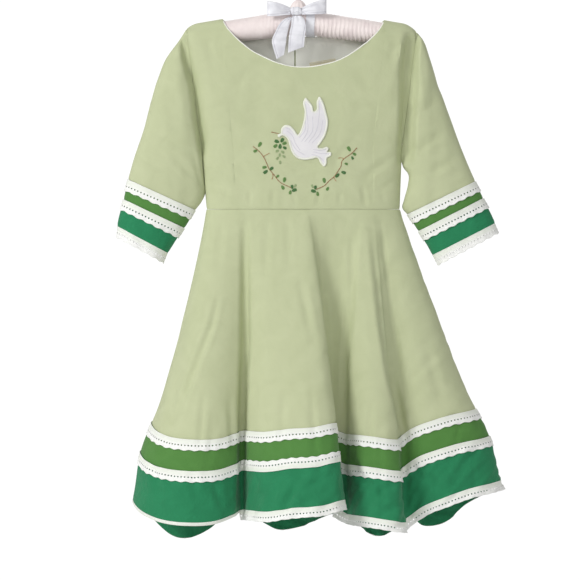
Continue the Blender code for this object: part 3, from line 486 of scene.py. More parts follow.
def add_tube(parts: MeshParts, route: Grid, radius: float | Grid, sides: int = 8, slot: int = 0,
             closed: bool = False, flat: float = 1.0, lay: Grid | None = None) -> None:
    """Sweep a round or flattened section along a route.

    Args:
        parts: the mesh that takes the tube.
        route: points along the tube's middle.
        radius: one radius, or one for each point.
        sides: sides of the section.
        slot: the finish's number.
        closed: whether the tube joins its start.
        flat: thickness of the section as a share of its width.
        lay: the direction across the section's thin side at each point.
    """
    route = np.asarray(route, float)
    count = len(route)
    ahead = unit((np.roll(route, -1, 0) - np.roll(route, 1, 0)) if closed else np.gradient(route, axis=0))
    if lay is None:
        lay = np.tile((0.0, 1.0, 0.0), (count, 1))
        lay[np.abs(ahead[:, 1]) > 0.9] = (1.0, 0.0, 0.0)
    side = unit(np.cross(ahead, lay))
    up = np.cross(side, ahead)
    radius = np.broadcast_to(np.asarray(radius, float), (count,))
    turns = np.arange(sides) * math.tau / sides
    ring = (route[:, None] + side[:, None] * (np.cos(turns)[None, :, None] * radius[:, None, None])
            + up[:, None] * (np.sin(turns)[None, :, None] * radius[:, None, None] * flat))
    steps = np.linalg.norm(np.diff(route, axis=0), axis=1)
    length = np.concatenate([[0.0], np.cumsum(steps)])
    length = np.append(length, length[-1] + np.linalg.norm(route[0] - route[-1])) * MM
    faces, corners = [], []
    for k in range(count if closed else count - 1):
        for turn in range(sides):
            following = (turn + 1) % sides
            a, b = k * sides + turn, k * sides + following
            c, d = ((k + 1) % count) * sides + following, ((k + 1) % count) * sides + turn
            faces.append((a, b, c, d))
            around = math.tau * float(radius[k]) * MM / sides
            corners += [(turn * around, length[k]), ((turn + 1) * around, length[k]),
                        ((turn + 1) * around, length[k + 1]), (turn * around, length[k + 1])]
    points = ring.reshape(-1, 3)
    if not closed:
        faces += [tuple(range(sides))[::-1], tuple((count - 1) * sides + i for i in range(sides))]
        corners += [(0.0, 0.0)] * (2 * sides)
    volume = np.sum(np.cross(ring[0, 1] - ring[0, 0], ring[1, 0] - ring[0, 0]) * (ring[0, 0] - route[0]))
    if volume < 0:
        faces = [face[::-1] for face in faces]
    parts.add(points, faces, corners, slot)


def curve_at(rows: Grid, gaps: Grid, places: Grid, closed: bool) -> Grid:
    """Read a smooth curve through rows of numbers.

    Args:
        rows: the rows that the curve passes through.
        gaps: the length of each step between rows.
        places: where to read it, counted in steps from the first row.
        closed: whether the curve joins its start.

    Returns:
        One row of numbers for each place.
    """
    rows = np.asarray(rows, float)
    gaps = np.asarray(gaps, float)[:, None]
    if closed:
        rows = np.vstack([rows, rows[:1]])
    slopes = np.diff(rows, axis=0) / gaps
    inner = (slopes[:-1] * gaps[1:] + slopes[1:] * gaps[:-1]) / (gaps[:-1] + gaps[1:])
    first, last = slopes[:1], slopes[-1:]
    if closed:
        first = last = (slopes[-1:] * gaps[:1] + slopes[:1] * gaps[-1:]) / (gaps[:1] + gaps[-1:])
    tangents = np.vstack([first, inner, last])
    places = np.asarray(places, float)
    step = np.minimum(places.astype(int), len(gaps) - 1)
    t = (places - step)[:, None]
    return (rows[step] * (2 * t**3 - 3 * t**2 + 1) + rows[step + 1] * (3 * t**2 - 2 * t**3)
            + tangents[step] * gaps[step] * (t**3 - 2 * t**2 + t)
            + tangents[step + 1] * gaps[step] * (t**3 - t**2))


@dataclass(frozen=True)
class Stroke:
    """One soft fold: a trough along points, or a ridge where its depth is negative."""

    path: tuple[tuple[float, float], ...]
    half_width: float
    depth: float

    def relief(self, x: Grid, z: Grid) -> Grid:
        """How far the cloth moves out at places seen from the front or the back.

        Args:
            x: places across.
            z: places up.

        Returns:
            The move in millimetres, fading out at both ends of the stroke.
        """
        path = np.array(self.path, float)
        steps = np.linalg.norm(np.diff(path, axis=0), axis=1)
        start = np.concatenate([[0.0], np.cumsum(steps)])
        best = np.full(x.shape, 1e9)
        share = np.zeros(x.shape)
        for k, (a, b) in enumerate(zip(path, path[1:])):
            along = (b - a) / steps[k]
            t = np.clip((x - a[0]) * along[0] + (z - a[1]) * along[1], 0.0, steps[k])
            away = np.hypot(x - a[0] - along[0] * t, z - a[1] - along[1] * t)
            nearer = away < best
            best = np.where(nearer, away, best)
            share = np.where(nearer, (start[k] + t) / start[-1], share)
        q = best / self.half_width
        profile = np.exp(-q**2) - 0.4 * np.exp(-((q - 1.7) / 0.8) ** 2)
        return -self.depth * profile * (0.15 + 0.85 * np.sin(math.pi * share) ** 0.7)


@dataclass(frozen=True)
class Ripple:
    """Broad low unevenness of hung cotton: waves of several lengths, mostly down the cloth."""

    height: float
    longest: float = 70.0
    shortest: float = 22.0
    seed: int = 4

    def relief(self, u: Grid, v: Grid) -> Grid:
        """How far the cloth moves out at places on it, in millimetres across and down."""
        random = np.random.default_rng(self.seed)
        total = np.zeros(np.broadcast(u, v).shape)
        bent_u = u + 6.0 * np.sin(v / 37.0 + 1.0) + 3.0 * np.sin(v / 15.0)
        bent_v = v + 8.0 * np.sin(u / 41.0 + 2.0)
        count = 9
        for k in range(count):
            length = self.longest * (self.shortest / self.longest) ** (k / (count - 1))
            turn = random.normal(0.0, 0.55)
            phase = random.uniform(0.0, math.tau)
            along = bent_u * math.cos(turn) + bent_v * math.sin(turn) * 0.6
            total += np.sin(math.tau * along / length + phase) * (length / self.longest) ** 0.8
        return self.height * total / 2.2


@dataclass
class Surface:
    """A dense grid of points on cloth: rows from its first seam to its last, columns across it."""

    points: Grid
    closed: bool = False
    flip: bool = False
    upright: bool = False

    def normals(self) -> Grid:
        """Direction out of the cloth at each point."""
        across = (np.roll(self.points, -1, 1) - np.roll(self.points, 1, 1) if self.closed
                  else np.gradient(self.points, axis=1))
        down = np.gradient(self.points, axis=0)
        out = unit(np.cross(across, down))
        return -out if self.flip else out

    def lengths(self) -> tuple[Grid, Grid]:
        """Distances across and down the cloth; a closed grid has one more column across."""
        points = np.concatenate([self.points, self.points[:, :1]], 1) if self.closed else self.points
        across = np.linalg.norm(np.diff(points, axis=1), axis=2)
        across = np.concatenate([np.zeros((len(points), 1)), np.cumsum(across, 1)], 1)
        down = np.linalg.norm(np.diff(points, axis=0), axis=2)
        down = np.concatenate([np.zeros((1, points.shape[1])), np.cumsum(down, 0)], 0)
        return across, down

    def moved(self, relief: Grid) -> "Surface":
        """The same cloth, moved out by a relief at each point."""
        points = self.points + self.normals() * relief[..., None]
        return Surface(points, self.closed, self.flip, self.upright)

    def weave(self) -> tuple[Grid, Grid]:
        """Where each point lies in the flat cloth, across and down in millimetres."""
        return (self.points[..., 0], self.points[..., 2]) if self.upright else self.lengths()

    def at(self, rows: Grid, columns: Grid) -> tuple[Grid, Grid]:
        """Read points and outward directions between the grid's points.

        Args:
            rows: places counted in rows.
            columns: places counted in columns.

        Returns:
            The points and the directions.
        """
        both = np.concatenate([self.points, self.normals()], 2)
        height, width = both.shape[:2]
        rows = np.clip(rows, 0, height - 1.0001)
        if not self.closed:
            columns = np.clip(columns, 0, width - 1.0001)
        row, column = np.floor(rows).astype(int), np.floor(columns).astype(int)
        down, across = (rows - row)[..., None], (columns - column)[..., None]
        left, right = column % width, (column + 1) % width
        first = both[row, left] * (1 - across) + both[row, right] * across
        second = both[row + 1, left] * (1 - across) + both[row + 1, right] * across
        mixed = first * (1 - down) + second * down
        return mixed[..., :3], unit(mixed[..., 3:])

    def part(self, rows: tuple[int, int], columns: tuple[int, int] | None = None) -> "Surface":
        """The cloth between two rows and, on an open or cut piece, between two columns."""
        points = self.points
        if columns is None:
            return Surface(points[rows[0]:rows[1] + 1], self.closed, self.flip, self.upright)
        if self.closed:
            points = np.concatenate([points, points[:, :1]], 1)
        points = points[rows[0]:rows[1] + 1, columns[0]:columns[1] + 1]
        return Surface(points, False, self.flip, self.upright)


@dataclass
class ClothPiece:
    """A wall of cloth on a surface, its edges drawn in by half a seam gap and dipped at the seams."""

    surface: Surface
    normals: Grid
    thick: float = 1.1
    edges: tuple[str, ...] = ()
    seam_gap: float = 0.3
    roll: float = 0.5

    def parts(self) -> MeshParts:
        """Make the wall's mesh parts.

        Returns:
            The parts, with the outer face on the surface and its edges rolled in.
        """
        points, normals = self.surface.points.copy(), self.normals
        pairs = {"first": (np.s_[0], np.s_[1]), "last": (np.s_[-1], np.s_[-2]),
                 "left": (np.s_[:, 0], np.s_[:, 1]), "right": (np.s_[:, -1], np.s_[:, -2])}
        for edge in self.edges:
            outer, inner = pairs[edge]
            points[outer] += unit(points[inner] - points[outer]) * self.seam_gap / 2
            points[outer] -= normals[outer] * self.roll
        rows, columns = points.shape[:2]
        faces, corners = grid_faces(rows, columns, self.surface.closed)
        across, down = self.surface.weave()
        row, column = corners[..., 0], corners[..., 1]
        uv = np.stack([across[row, column], down[row, column]], -1) * MM
        first = faces[len(faces) // 2]
        flat = points.reshape(-1, 3)
        face_out = np.cross(flat[first[1]] - flat[first[0]], flat[first[2]] - flat[first[0]])
        if np.dot(face_out, normals.reshape(-1, 3)[first[0]]) < 0:
            faces, uv = faces[:, ::-1], uv[:, ::-1]
        made = MeshParts()
        inner_points = points - normals * self.thick
        made.add_shell(points, inner_points, faces.tolist(), uv.reshape(-1, 2).tolist())
        return made


def sheet_size(surface: Surface) -> tuple[float, float, float]:
    """The cut of a piece of cloth: its greatest width, its mean length and its flat area, in metres."""
    across, down = surface.lengths()
    width, length = float(across[:, -1].max()) * MM, float(down[-1].max()) * MM
    points = surface.points
    if surface.closed:
        points = np.concatenate([points, points[:, :1]], 1)
    one = np.cross(points[:-1, 1:] - points[:-1, :-1], points[1:, :-1] - points[:-1, :-1])
    two = np.cross(points[1:, :-1] - points[1:, 1:], points[:-1, 1:] - points[1:, 1:])
    area = float(np.linalg.norm(one, axis=2).sum() + np.linalg.norm(two, axis=2).sum()) / 2 * MM * MM
    return width, length, min(area, width * length)


def declare(piece: bpy.types.Object, nodes: Sequence[str], cut: tuple[float, float, float],
            with_pieces: Sequence[bpy.types.Object] = ()) -> None:
    """Tie a sheet of cloth to the frame.

    Args:
        piece: the finished piece.
        nodes: the solids that it stands for.
        cut: its flat width, length and area in metres.
        with_pieces: stitches and other small pieces sewn on it; not used.
    """
    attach(piece, GARMENT)
    if nodes:
        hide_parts(*nodes)
    LOG.info("%s: %d faces, cut %.0f by %.0f mm", piece.name, len(piece.data.polygons),
             cut[0] / MM, cut[1] / MM)


def rows_of(kind: Any, *rows: Sequence[Any]) -> tuple[Any, ...]:
    """Turn the rows of a table into folds, sections, strokes or leaves."""
    return tuple(kind(*row) for row in rows)


class Fold(NamedTuple):
    """A fold of the skirt: its place at the waist, its place at the hem, and how late it spreads."""

    waist_x: float
    hem_x: float
    hem_y: float
    hem_z: float
    spread: float


class Section(NamedTuple):
    """A section down a sleeve: its outer edge, its inner edge and half its depth."""

    outer_x: float
    outer_z: float
    inner_x: float
    inner_z: float
    half_depth: float


@dataclass(frozen=True)
class HangerShape:
    """Sizes of the padded bar and of the cloth that bends over it."""

    half_length: float = 138.0
    radius: float = 16.0
    end_thinning: float = 3.5
    end_cap: float = 14.0
    top: float = -74.5
    slope: float = 0.17
    crown: float = 20.0
    cloth_on_bar: float = 3.0
    drop: float = 6.0
    drop_start: float = 130.0
    drop_run: float = 16.0

    def bar_radius(self, x: Grid) -> Grid:
        """Radius of the bar without its rounded ends."""
        return self.radius - self.end_thinning * (x / self.half_length) ** 2

    def bar_axis(self, x: Grid) -> Grid:
        """Height of the bar's middle."""
        return self.top - self.slope * (np.hypot(x, self.crown) - self.crown) - self.bar_radius(x)

    def shoulder_radius(self, x: Grid) -> Grid:
        """Radius of the cloth's outer face over the bar."""
        return self.bar_radius(x) + self.cloth_on_bar

    def shoulder_axis(self, x: Grid) -> Grid:
        """Height that the cloth bends round, lower past the bar's ends."""
        past = np.maximum(0.0, (np.abs(x) - self.drop_start) / self.drop_run)
        return self.bar_axis(x) - self.drop * past**2

    def crest(self, x: Grid) -> Grid:
        """Height of the shoulder line."""
        return self.shoulder_axis(x) + self.shoulder_radius(x)


@dataclass(frozen=True)
class BodiceShape:
    """Sizes of the bodice, and the points of its front and back."""

    hanger: HangerShape = HangerShape()
    waist_z: float = -327.7
    waist: tuple[float, float] = (-119.4, 127.6)
    waist_depths: tuple[float, float] = (30.0, 28.0)
    underarm_z: float = -242.6
    underarm: tuple[float, float] = (-127.0, 130.8)
    tips: tuple[float, float] = (-144.8, 148.6)
    neck: tuple[float, float] = (-98.5, 107.0)
    neck_drops: tuple[float, float] = (61.0, 22.0)
    neck_roundness: float = 0.75
    squareness: float = 2.6
    fullness: tuple[float, float] = (1.1, 1.14)
    armhole_depth: float = 16.0
    armhole_roundness: float = 0.6
    rows_below: int = 24
    rows_above: int = 50
    shoulder_columns: int = 14
    half_neck_columns: int = 54
    crowding: tuple[float, float] = (1.2, 1.6)

    def neck_line(self, x: Grid, back: bool) -> Grid:
        """Height of the neckline."""
        share = (x - self.neck[0]) / (self.neck[1] - self.neck[0])
        ends = self.hanger.crest(np.array(self.neck))
        level = ends[0] * (1 - share) + ends[1] * share
        bow = np.maximum(0.0, 1 - (2 * share - 1) ** 2) ** self.neck_roundness
        return level - self.neck_drops[back] * bow

    def rounding(self, across: Grid) -> Grid:
        """Share of the full depth at a place across the body, from -1 to 1."""
        return np.maximum(0.0, 1 - np.abs(across) ** self.squareness) ** (1 / self.squareness)

    def waist_y(self, x: Grid, back: Grid) -> Grid:
        """Depth of the waist seam."""
        middle, half = sum(self.waist) / 2, (self.waist[1] - self.waist[0]) / 2
        depth = np.where(back, self.waist_depths[1], -self.waist_depths[0])
        return depth * self.rounding((x - middle) / half)

    def shares(self, centre: float) -> Grid:
        """Columns across the bodice as shares of its width, with the neck points among them."""
        width = self.tips[1] - self.tips[0]
        left_neck, right_neck = ((x - self.tips[0]) / width for x in self.neck)
        turn = np.linspace(0, 1, self.shoulder_columns + 1) ** self.crowding[0]
        inwards = np.linspace(0, 1, self.half_neck_columns + 1) ** self.crowding[1]
        from_left = left_neck + (centre - left_neck) * inwards
        from_right = right_neck - (right_neck - centre) * inwards[::-1]
        return np.concatenate([turn * left_neck, from_left[1:], from_right[1:],
                               (1 - turn[::-1] * (1 - right_neck))[1:]])

    def surface(self, back: bool, centre: float = 0.5) -> Surface:
        """Points of the front or the back, waist row first.

        Args:
            back: whether it is the back.
            centre: the centre seam's place as a share of the width.

        Returns:
            The surface, from the left armhole to the right one.
        """
        shares = self.shares(centre)
        rows = np.arange(self.rows_below + self.rows_above + 1)[:, None]
        below = np.minimum(1.0, rows / self.rows_below)
        steps = np.maximum(0.0, (rows - self.rows_below) / self.rows_above)
        rise = (1 - np.cos(math.pi * steps)) / 2
        edge = self.armhole_depth * np.maximum(0.0, np.sin(math.pi * steps)) ** self.armhole_roundness
        ends = [self.waist[k] + (self.underarm[k] - self.waist[k]) * below
                + (self.tips[k] - self.underarm[k]) * rise for k in (0, 1)]
        column = self.tips[0] + (self.tips[1] - self.tips[0]) * shares
        axis, radius = self.hanger.shoulder_axis(column), self.hanger.shoulder_radius(column)
        inside = (column > self.neck[0]) & (column < self.neck[1])
        top = np.where(inside, self.neck_line(column, back), self.hanger.crest(column))
        over = radius * np.arcsin(np.clip((top - axis) / radius, 0.0, 1.0))
        length = np.minimum(top, axis) - self.waist_z + over
        share = (self.underarm_z - self.waist_z) / (axis - self.waist_z + radius * math.pi / 2)
        run = length * (share * below + (1 - share) * rise)
        bend = np.maximum(0.0, run - (axis - self.waist_z)) / radius
        straight = bend <= 0
        z = np.where(straight, self.waist_z + run, axis + radius * np.sin(bend))
        full = self.fullness[back]
        fall = np.clip((axis - z) / (axis - self.waist_z), 0.0, 1.0)
        swell = fall if back else fall**0.8
        flat = radius * full * (1 - swell) + self.waist_depths[back] * swell
        depth = np.where(straight, flat, radius * np.cos(bend) * full)
        sides = [(self.waist_z + (self.underarm_z - self.waist_z) * below
                  + (self.hanger.crest(column[end]) - self.underarm_z) * rise)[:, 0] for end in (0, -1)]
        z[:, 0], z[:, -1] = sides
        left, right = (np.interp(z, sides[k], ends[k][:, 0]) for k in (0, 1))
        rims = [np.interp(z, sides[k], edge[:, 0]) for k in (0, 1)]
        x = left + (right - left) * shares
        rim = np.minimum(rims[0] + (rims[1] - rims[0]) * shares, depth)
        y = rim + (depth - rim) * self.rounding(2 * shares - 1)
        y[:, 0] = y[:, -1] = edge[:, 0]
        return Surface(np.stack([x, y if back else -y, z], 2), flip=back, upright=True)


LEFT_SEAM = Fold(-119.4, -206, 12, -694, 1.15)
RIGHT_SEAM = Fold(127.6, 250, 16, -675, 1.1)
FRONT_FOLDS = rows_of(
    Fold,
    (-118.4, -212, -12, -697, 1.15), (-116, -203, -42, -709, 1.1), (-110.5, -176, -70, -721, 1),
    (-102, -141, -85, -725, 1), (-92, -107, -79, -723, 1), (-80, -82, -58, -714, 1),
    (-70, -74, -34, -710, 1), (-61, -64, -60, -710, 1), (-49, -42, -90, -711, 1),
    (-31, -8, -105, -706, 1), (-13, 28, -109, -703, 0.95), (-1, 50, -99, -697, 0.85),
    (6, 57, -81, -696, 0.78), (14, 50, -60, -699, 0.85), (25, 41, -36, -704, 0.95),
    (38, 45, -16, -708, 1), (51, 57, -22, -714, 1), (62, 65, -44, -716, 1), (71, 77, -65, -717, 1),
    (79, 100, -80, -720, 1), (86, 124, -79, -724, 1), (91.5, 135, -65, -725, 1),
    (96.5, 132, -47, -724, 1), (101.5, 138, -32, -719, 1), (107, 156, -37, -706, 1.05),
    (113, 184, -46, -694, 1.05), (119, 214, -43, -683, 1.05), (124, 240, -30, -677, 1.05),
    (127, 255, -8, -673, 1.05),
)
BACK_FOLDS = rows_of(
    Fold,
    (124.5, 236, 42, -690, 1.1), (119, 210, 60, -706, 1.05), (110, 184, 44, -728, 1),
    (99, 160, 46, -732, 1), (87, 140, 66, -722, 1), (73, 117, 54, -740, 1), (58, 95, 34, -744, 1),
    (43, 76, 56, -730, 1), (28, 53, 82, -716, 1), (12, 28, 72, -722, 1), (-3.3, 0, 42, -733, 1),
    (-16, -24, 36, -737, 1), (-32, -48, 60, -727, 1), (-49, -74, 82, -716, 1), (-65, -98, 72, -722, 1),
    (-79, -120, 44, -738, 1), (-92, -142, 32, -747, 1), (-103, -165, 46, -743, 1),
    (-112, -188, 50, -722, 1.05),
)
LEFT_SLEEVE = rows_of(
    Section,
    (-153, -111, -123.6, -256, 19), (-171.5, -137.2, -122, -275, 21),
    (-186.7, -179.1, -121.8, -292.5, 21), (-200.7, -231.1, -121.4, -311, 21),
    (-210.8, -260.4, -126.6, -321, 21), (-219.1, -289.6, -133.4, -328.9, 21),
    (-224.8, -315, -147.3, -351.8, 21), (-233, -349.3, -168.3, -383.5, 20),
    (-233.7, -363.2, -174, -396.2, 20),
)
RIGHT_SLEEVE = rows_of(
    Section,
    (157, -112, 128.8, -257, 19), (166.4, -138.4, 131.4, -273, 21), (177.8, -174, 138.4, -284.5, 21),
    (191.8, -212.1, 137, -299, 21), (205.7, -250.2, 133, -315.5, 21),
    (214.6, -271.8, 130.8, -325.5, 21), (223.5, -292.1, 137.2, -334, 21),
    (233.7, -313.7, 151.1, -355.6, 21), (248.9, -345.4, 168.9, -386.1, 20),
    (252.7, -356.9, 175.3, -398.1, 20),
)
BACK_SEAM_FOLD = 10

BODICE_STROKES = rows_of(
    Stroke,
    (((-123, -262), (-100, -276), (-76, -293)), 5, 1.3), (((-120, -288), (-96, -303)), 4, 1),
    (((126, -256), (102, -272), (80, -287)), 5, 1.3), (((124, -290), (98, -305)), 4, 1),
    (((-97, -326), (-92, -300)), 3, 1), (((-66, -326), (-63, -306)), 3, 0.8),
    (((-35, -326), (-34, -302)), 3.5, 0.9), (((-6, -327), (-8, -309)), 3, 0.7),
    (((22, -326), (25, -301)), 3.5, 0.9), (((52, -326), (50, -307)), 3, 0.8),
    (((84, -326), (79, -299)), 3.5, 1), (((108, -325), (104, -306)), 3, 0.8),
    (((-120, -106), (-112, -138)), 5, 1.1), (((124, -108), (115, -142)), 5, 1.1),
    (((-134, -118), (-126, -160), (-121, -205)), 6, 1.1),
    (((136, -120), (128, -160), (124, -200)), 6, 1.1), (((-34, -264), (-4, -277), (30, -271)), 5, 0.8),
    (((-66, -238), (-42, -262), (-20, -280)), 5, 0.8), (((70, -236), (52, -258), (36, -284)), 5, 0.8),
    (((-62, -146), (-84, -178)), 6, 0.7), (((72, -150), (92, -182)), 6, 0.7),
    (((-90, -200), (-60, -212)), 6, 0.6), (((60, -206), (96, -196)), 6, 0.6),
)
LEFT_SLEEVE_STROKES = rows_of(
    Stroke,
    (((-150, -130), (-142, -175), (-137, -225)), 6, 1.8),
    (((-186, -186), (-160, -202), (-134, -214)), 5.5, 1.4),
    (((-197, -222), (-168, -238), (-140, -250)), 5, 1.3), (((-205, -262), (-180, -272)), 4.5, 1),
    (((-160, -262), (-132, -288)), 5, 1.3), (((-175, -150), (-165, -190)), 7, 1),
    (((-212, -300), (-190, -318)), 4, 0.8),
)
RIGHT_SLEEVE_STROKES = rows_of(
    Stroke,
    (((154, -130), (148, -175), (146, -205)), 6, 1.8),
    (((134, -206), (152, -203), (176, -190)), 5, 1.8),
    (((132, -252), (152, -250), (182, -232)), 5, 2.2),
    (((140, -285), (168, -282), (198, -262)), 5, 1.3), (((176, -160), (168, -196)), 7, 1),
    (((196, -300), (216, -290)), 4, 0.9),
)


class Groove(NamedTuple):
    """A hollow along an armhole: its line from the shoulder down, its half widths and its depth."""

    path: tuple[tuple[float, float], ...]
    left_half: float
    right_half: float
    depth: float
    power: float = 2.0


ARMHOLE_GROOVES = (
    Groove(((-150, -104), (-145, -138), (-136, -166), (-132, -199), (-129.5, -223), (-124.5, -262)),
           4.0, 7.5, 13.0, 1.8),
    Groove(((144, -100), (140, -125), (138, -150), (137, -200), (136, -226), (134, -272)),
           9.0, 10.5, 14.0, 5.0),
)
SKIRT_STROKES = rows_of(
    Stroke,
    (((-69.9, -345), (-68.6, -430), (-68.8, -500), (-73.5, -596), (-74.9, -730)), 5, 3.4),
    (((91.4, -350), (97.8, -411), (105.4, -475), (114.3, -532), (127, -589), (134.6, -621),
      (131.5, -735)), 5, 3.2),
    (((72.4, -345), (67.3, -386), (64.8, -443), (59.7, -500), (57.2, -538), (57.5, -596)), 5, 2.2),
    (((-150, -480), (-158, -560), (-170, -640)), 7, 1.2), (((-4, -690), (6, -682), (20, -672)), 3.8, 3),
    (((-22, -712), (-12, -690), (-6, -672)), 4.4, 2.2), (((64, -640), (78, -668), (98, -686)), 4.8, 3),
    (((98, -672), (106, -700)), 4, 2.6), (((142, -650), (158, -672)), 4.4, 3),
    (((172, -650), (190, -668)), 4.4, 2.6), (((-186, -650), (-176, -690)), 4.4, 2.2),
    (((-138, -660), (-130, -700)), 5, 2.2), (((-110, -676), (-98, -706)), 4.4, 2.4),
    (((-90, -570), (-84, -640)), 4, 1.8), (((-122, -560), (-128, -640)), 4, 1.6),
    (((-20, -560), (-26, -640)), 4.4, 1.4), (((118, -470), (134, -590)), 5, 1.8),
    (((14, -560), (20, -650)), 4.4, 1.4), (((90, -575), (88, -640)), 4, 2),
    (((0, -420), (18, -500)), 5, 1.4), (((28, -514), (40, -508)), 2.4, 1),
    (((-104, -440), (-112, -475), (-131, -523), (-162, -606)), 4, 2.6),
    (((118, -540), (130, -602)), 4, 1), (((204, -598), (197, -628)), 2.4, 1.5),
    (((-6, -680), (11, -706)), 3.5, 1.3), (((157, -655), (180, -688)), 4, 1.6),
    (((184, -652), (202, -684)), 3.6, 1.5), (((-40, -340), (-46, -420)), 5, 0.9),
    (((-16, -336), (-14, -400)), 5, 0.8), (((60, -338), (66, -410)), 5, 0.9),
    (((100, -340), (112, -420)), 5, 1), (((-100, -336), (-104, -400)), 5, 0.9),
    (((-30, -480), (-60, -560)), 7, 0.8), (((20, -430), (26, -500)), 6, 0.8),
    (((160, -500), (182, -580)), 6, 1.1), (((-160, -560), (-172, -630)), 5, 1),
    (((-110, -600), (-120, -665)), 5, 0.9), (((-20, -600), (-12, -660)), 6, 0.8),
    (((-190, -640), (-182, -690)), 4, 1.1), (((100, -620), (104, -690)), 4, 0.9),
)


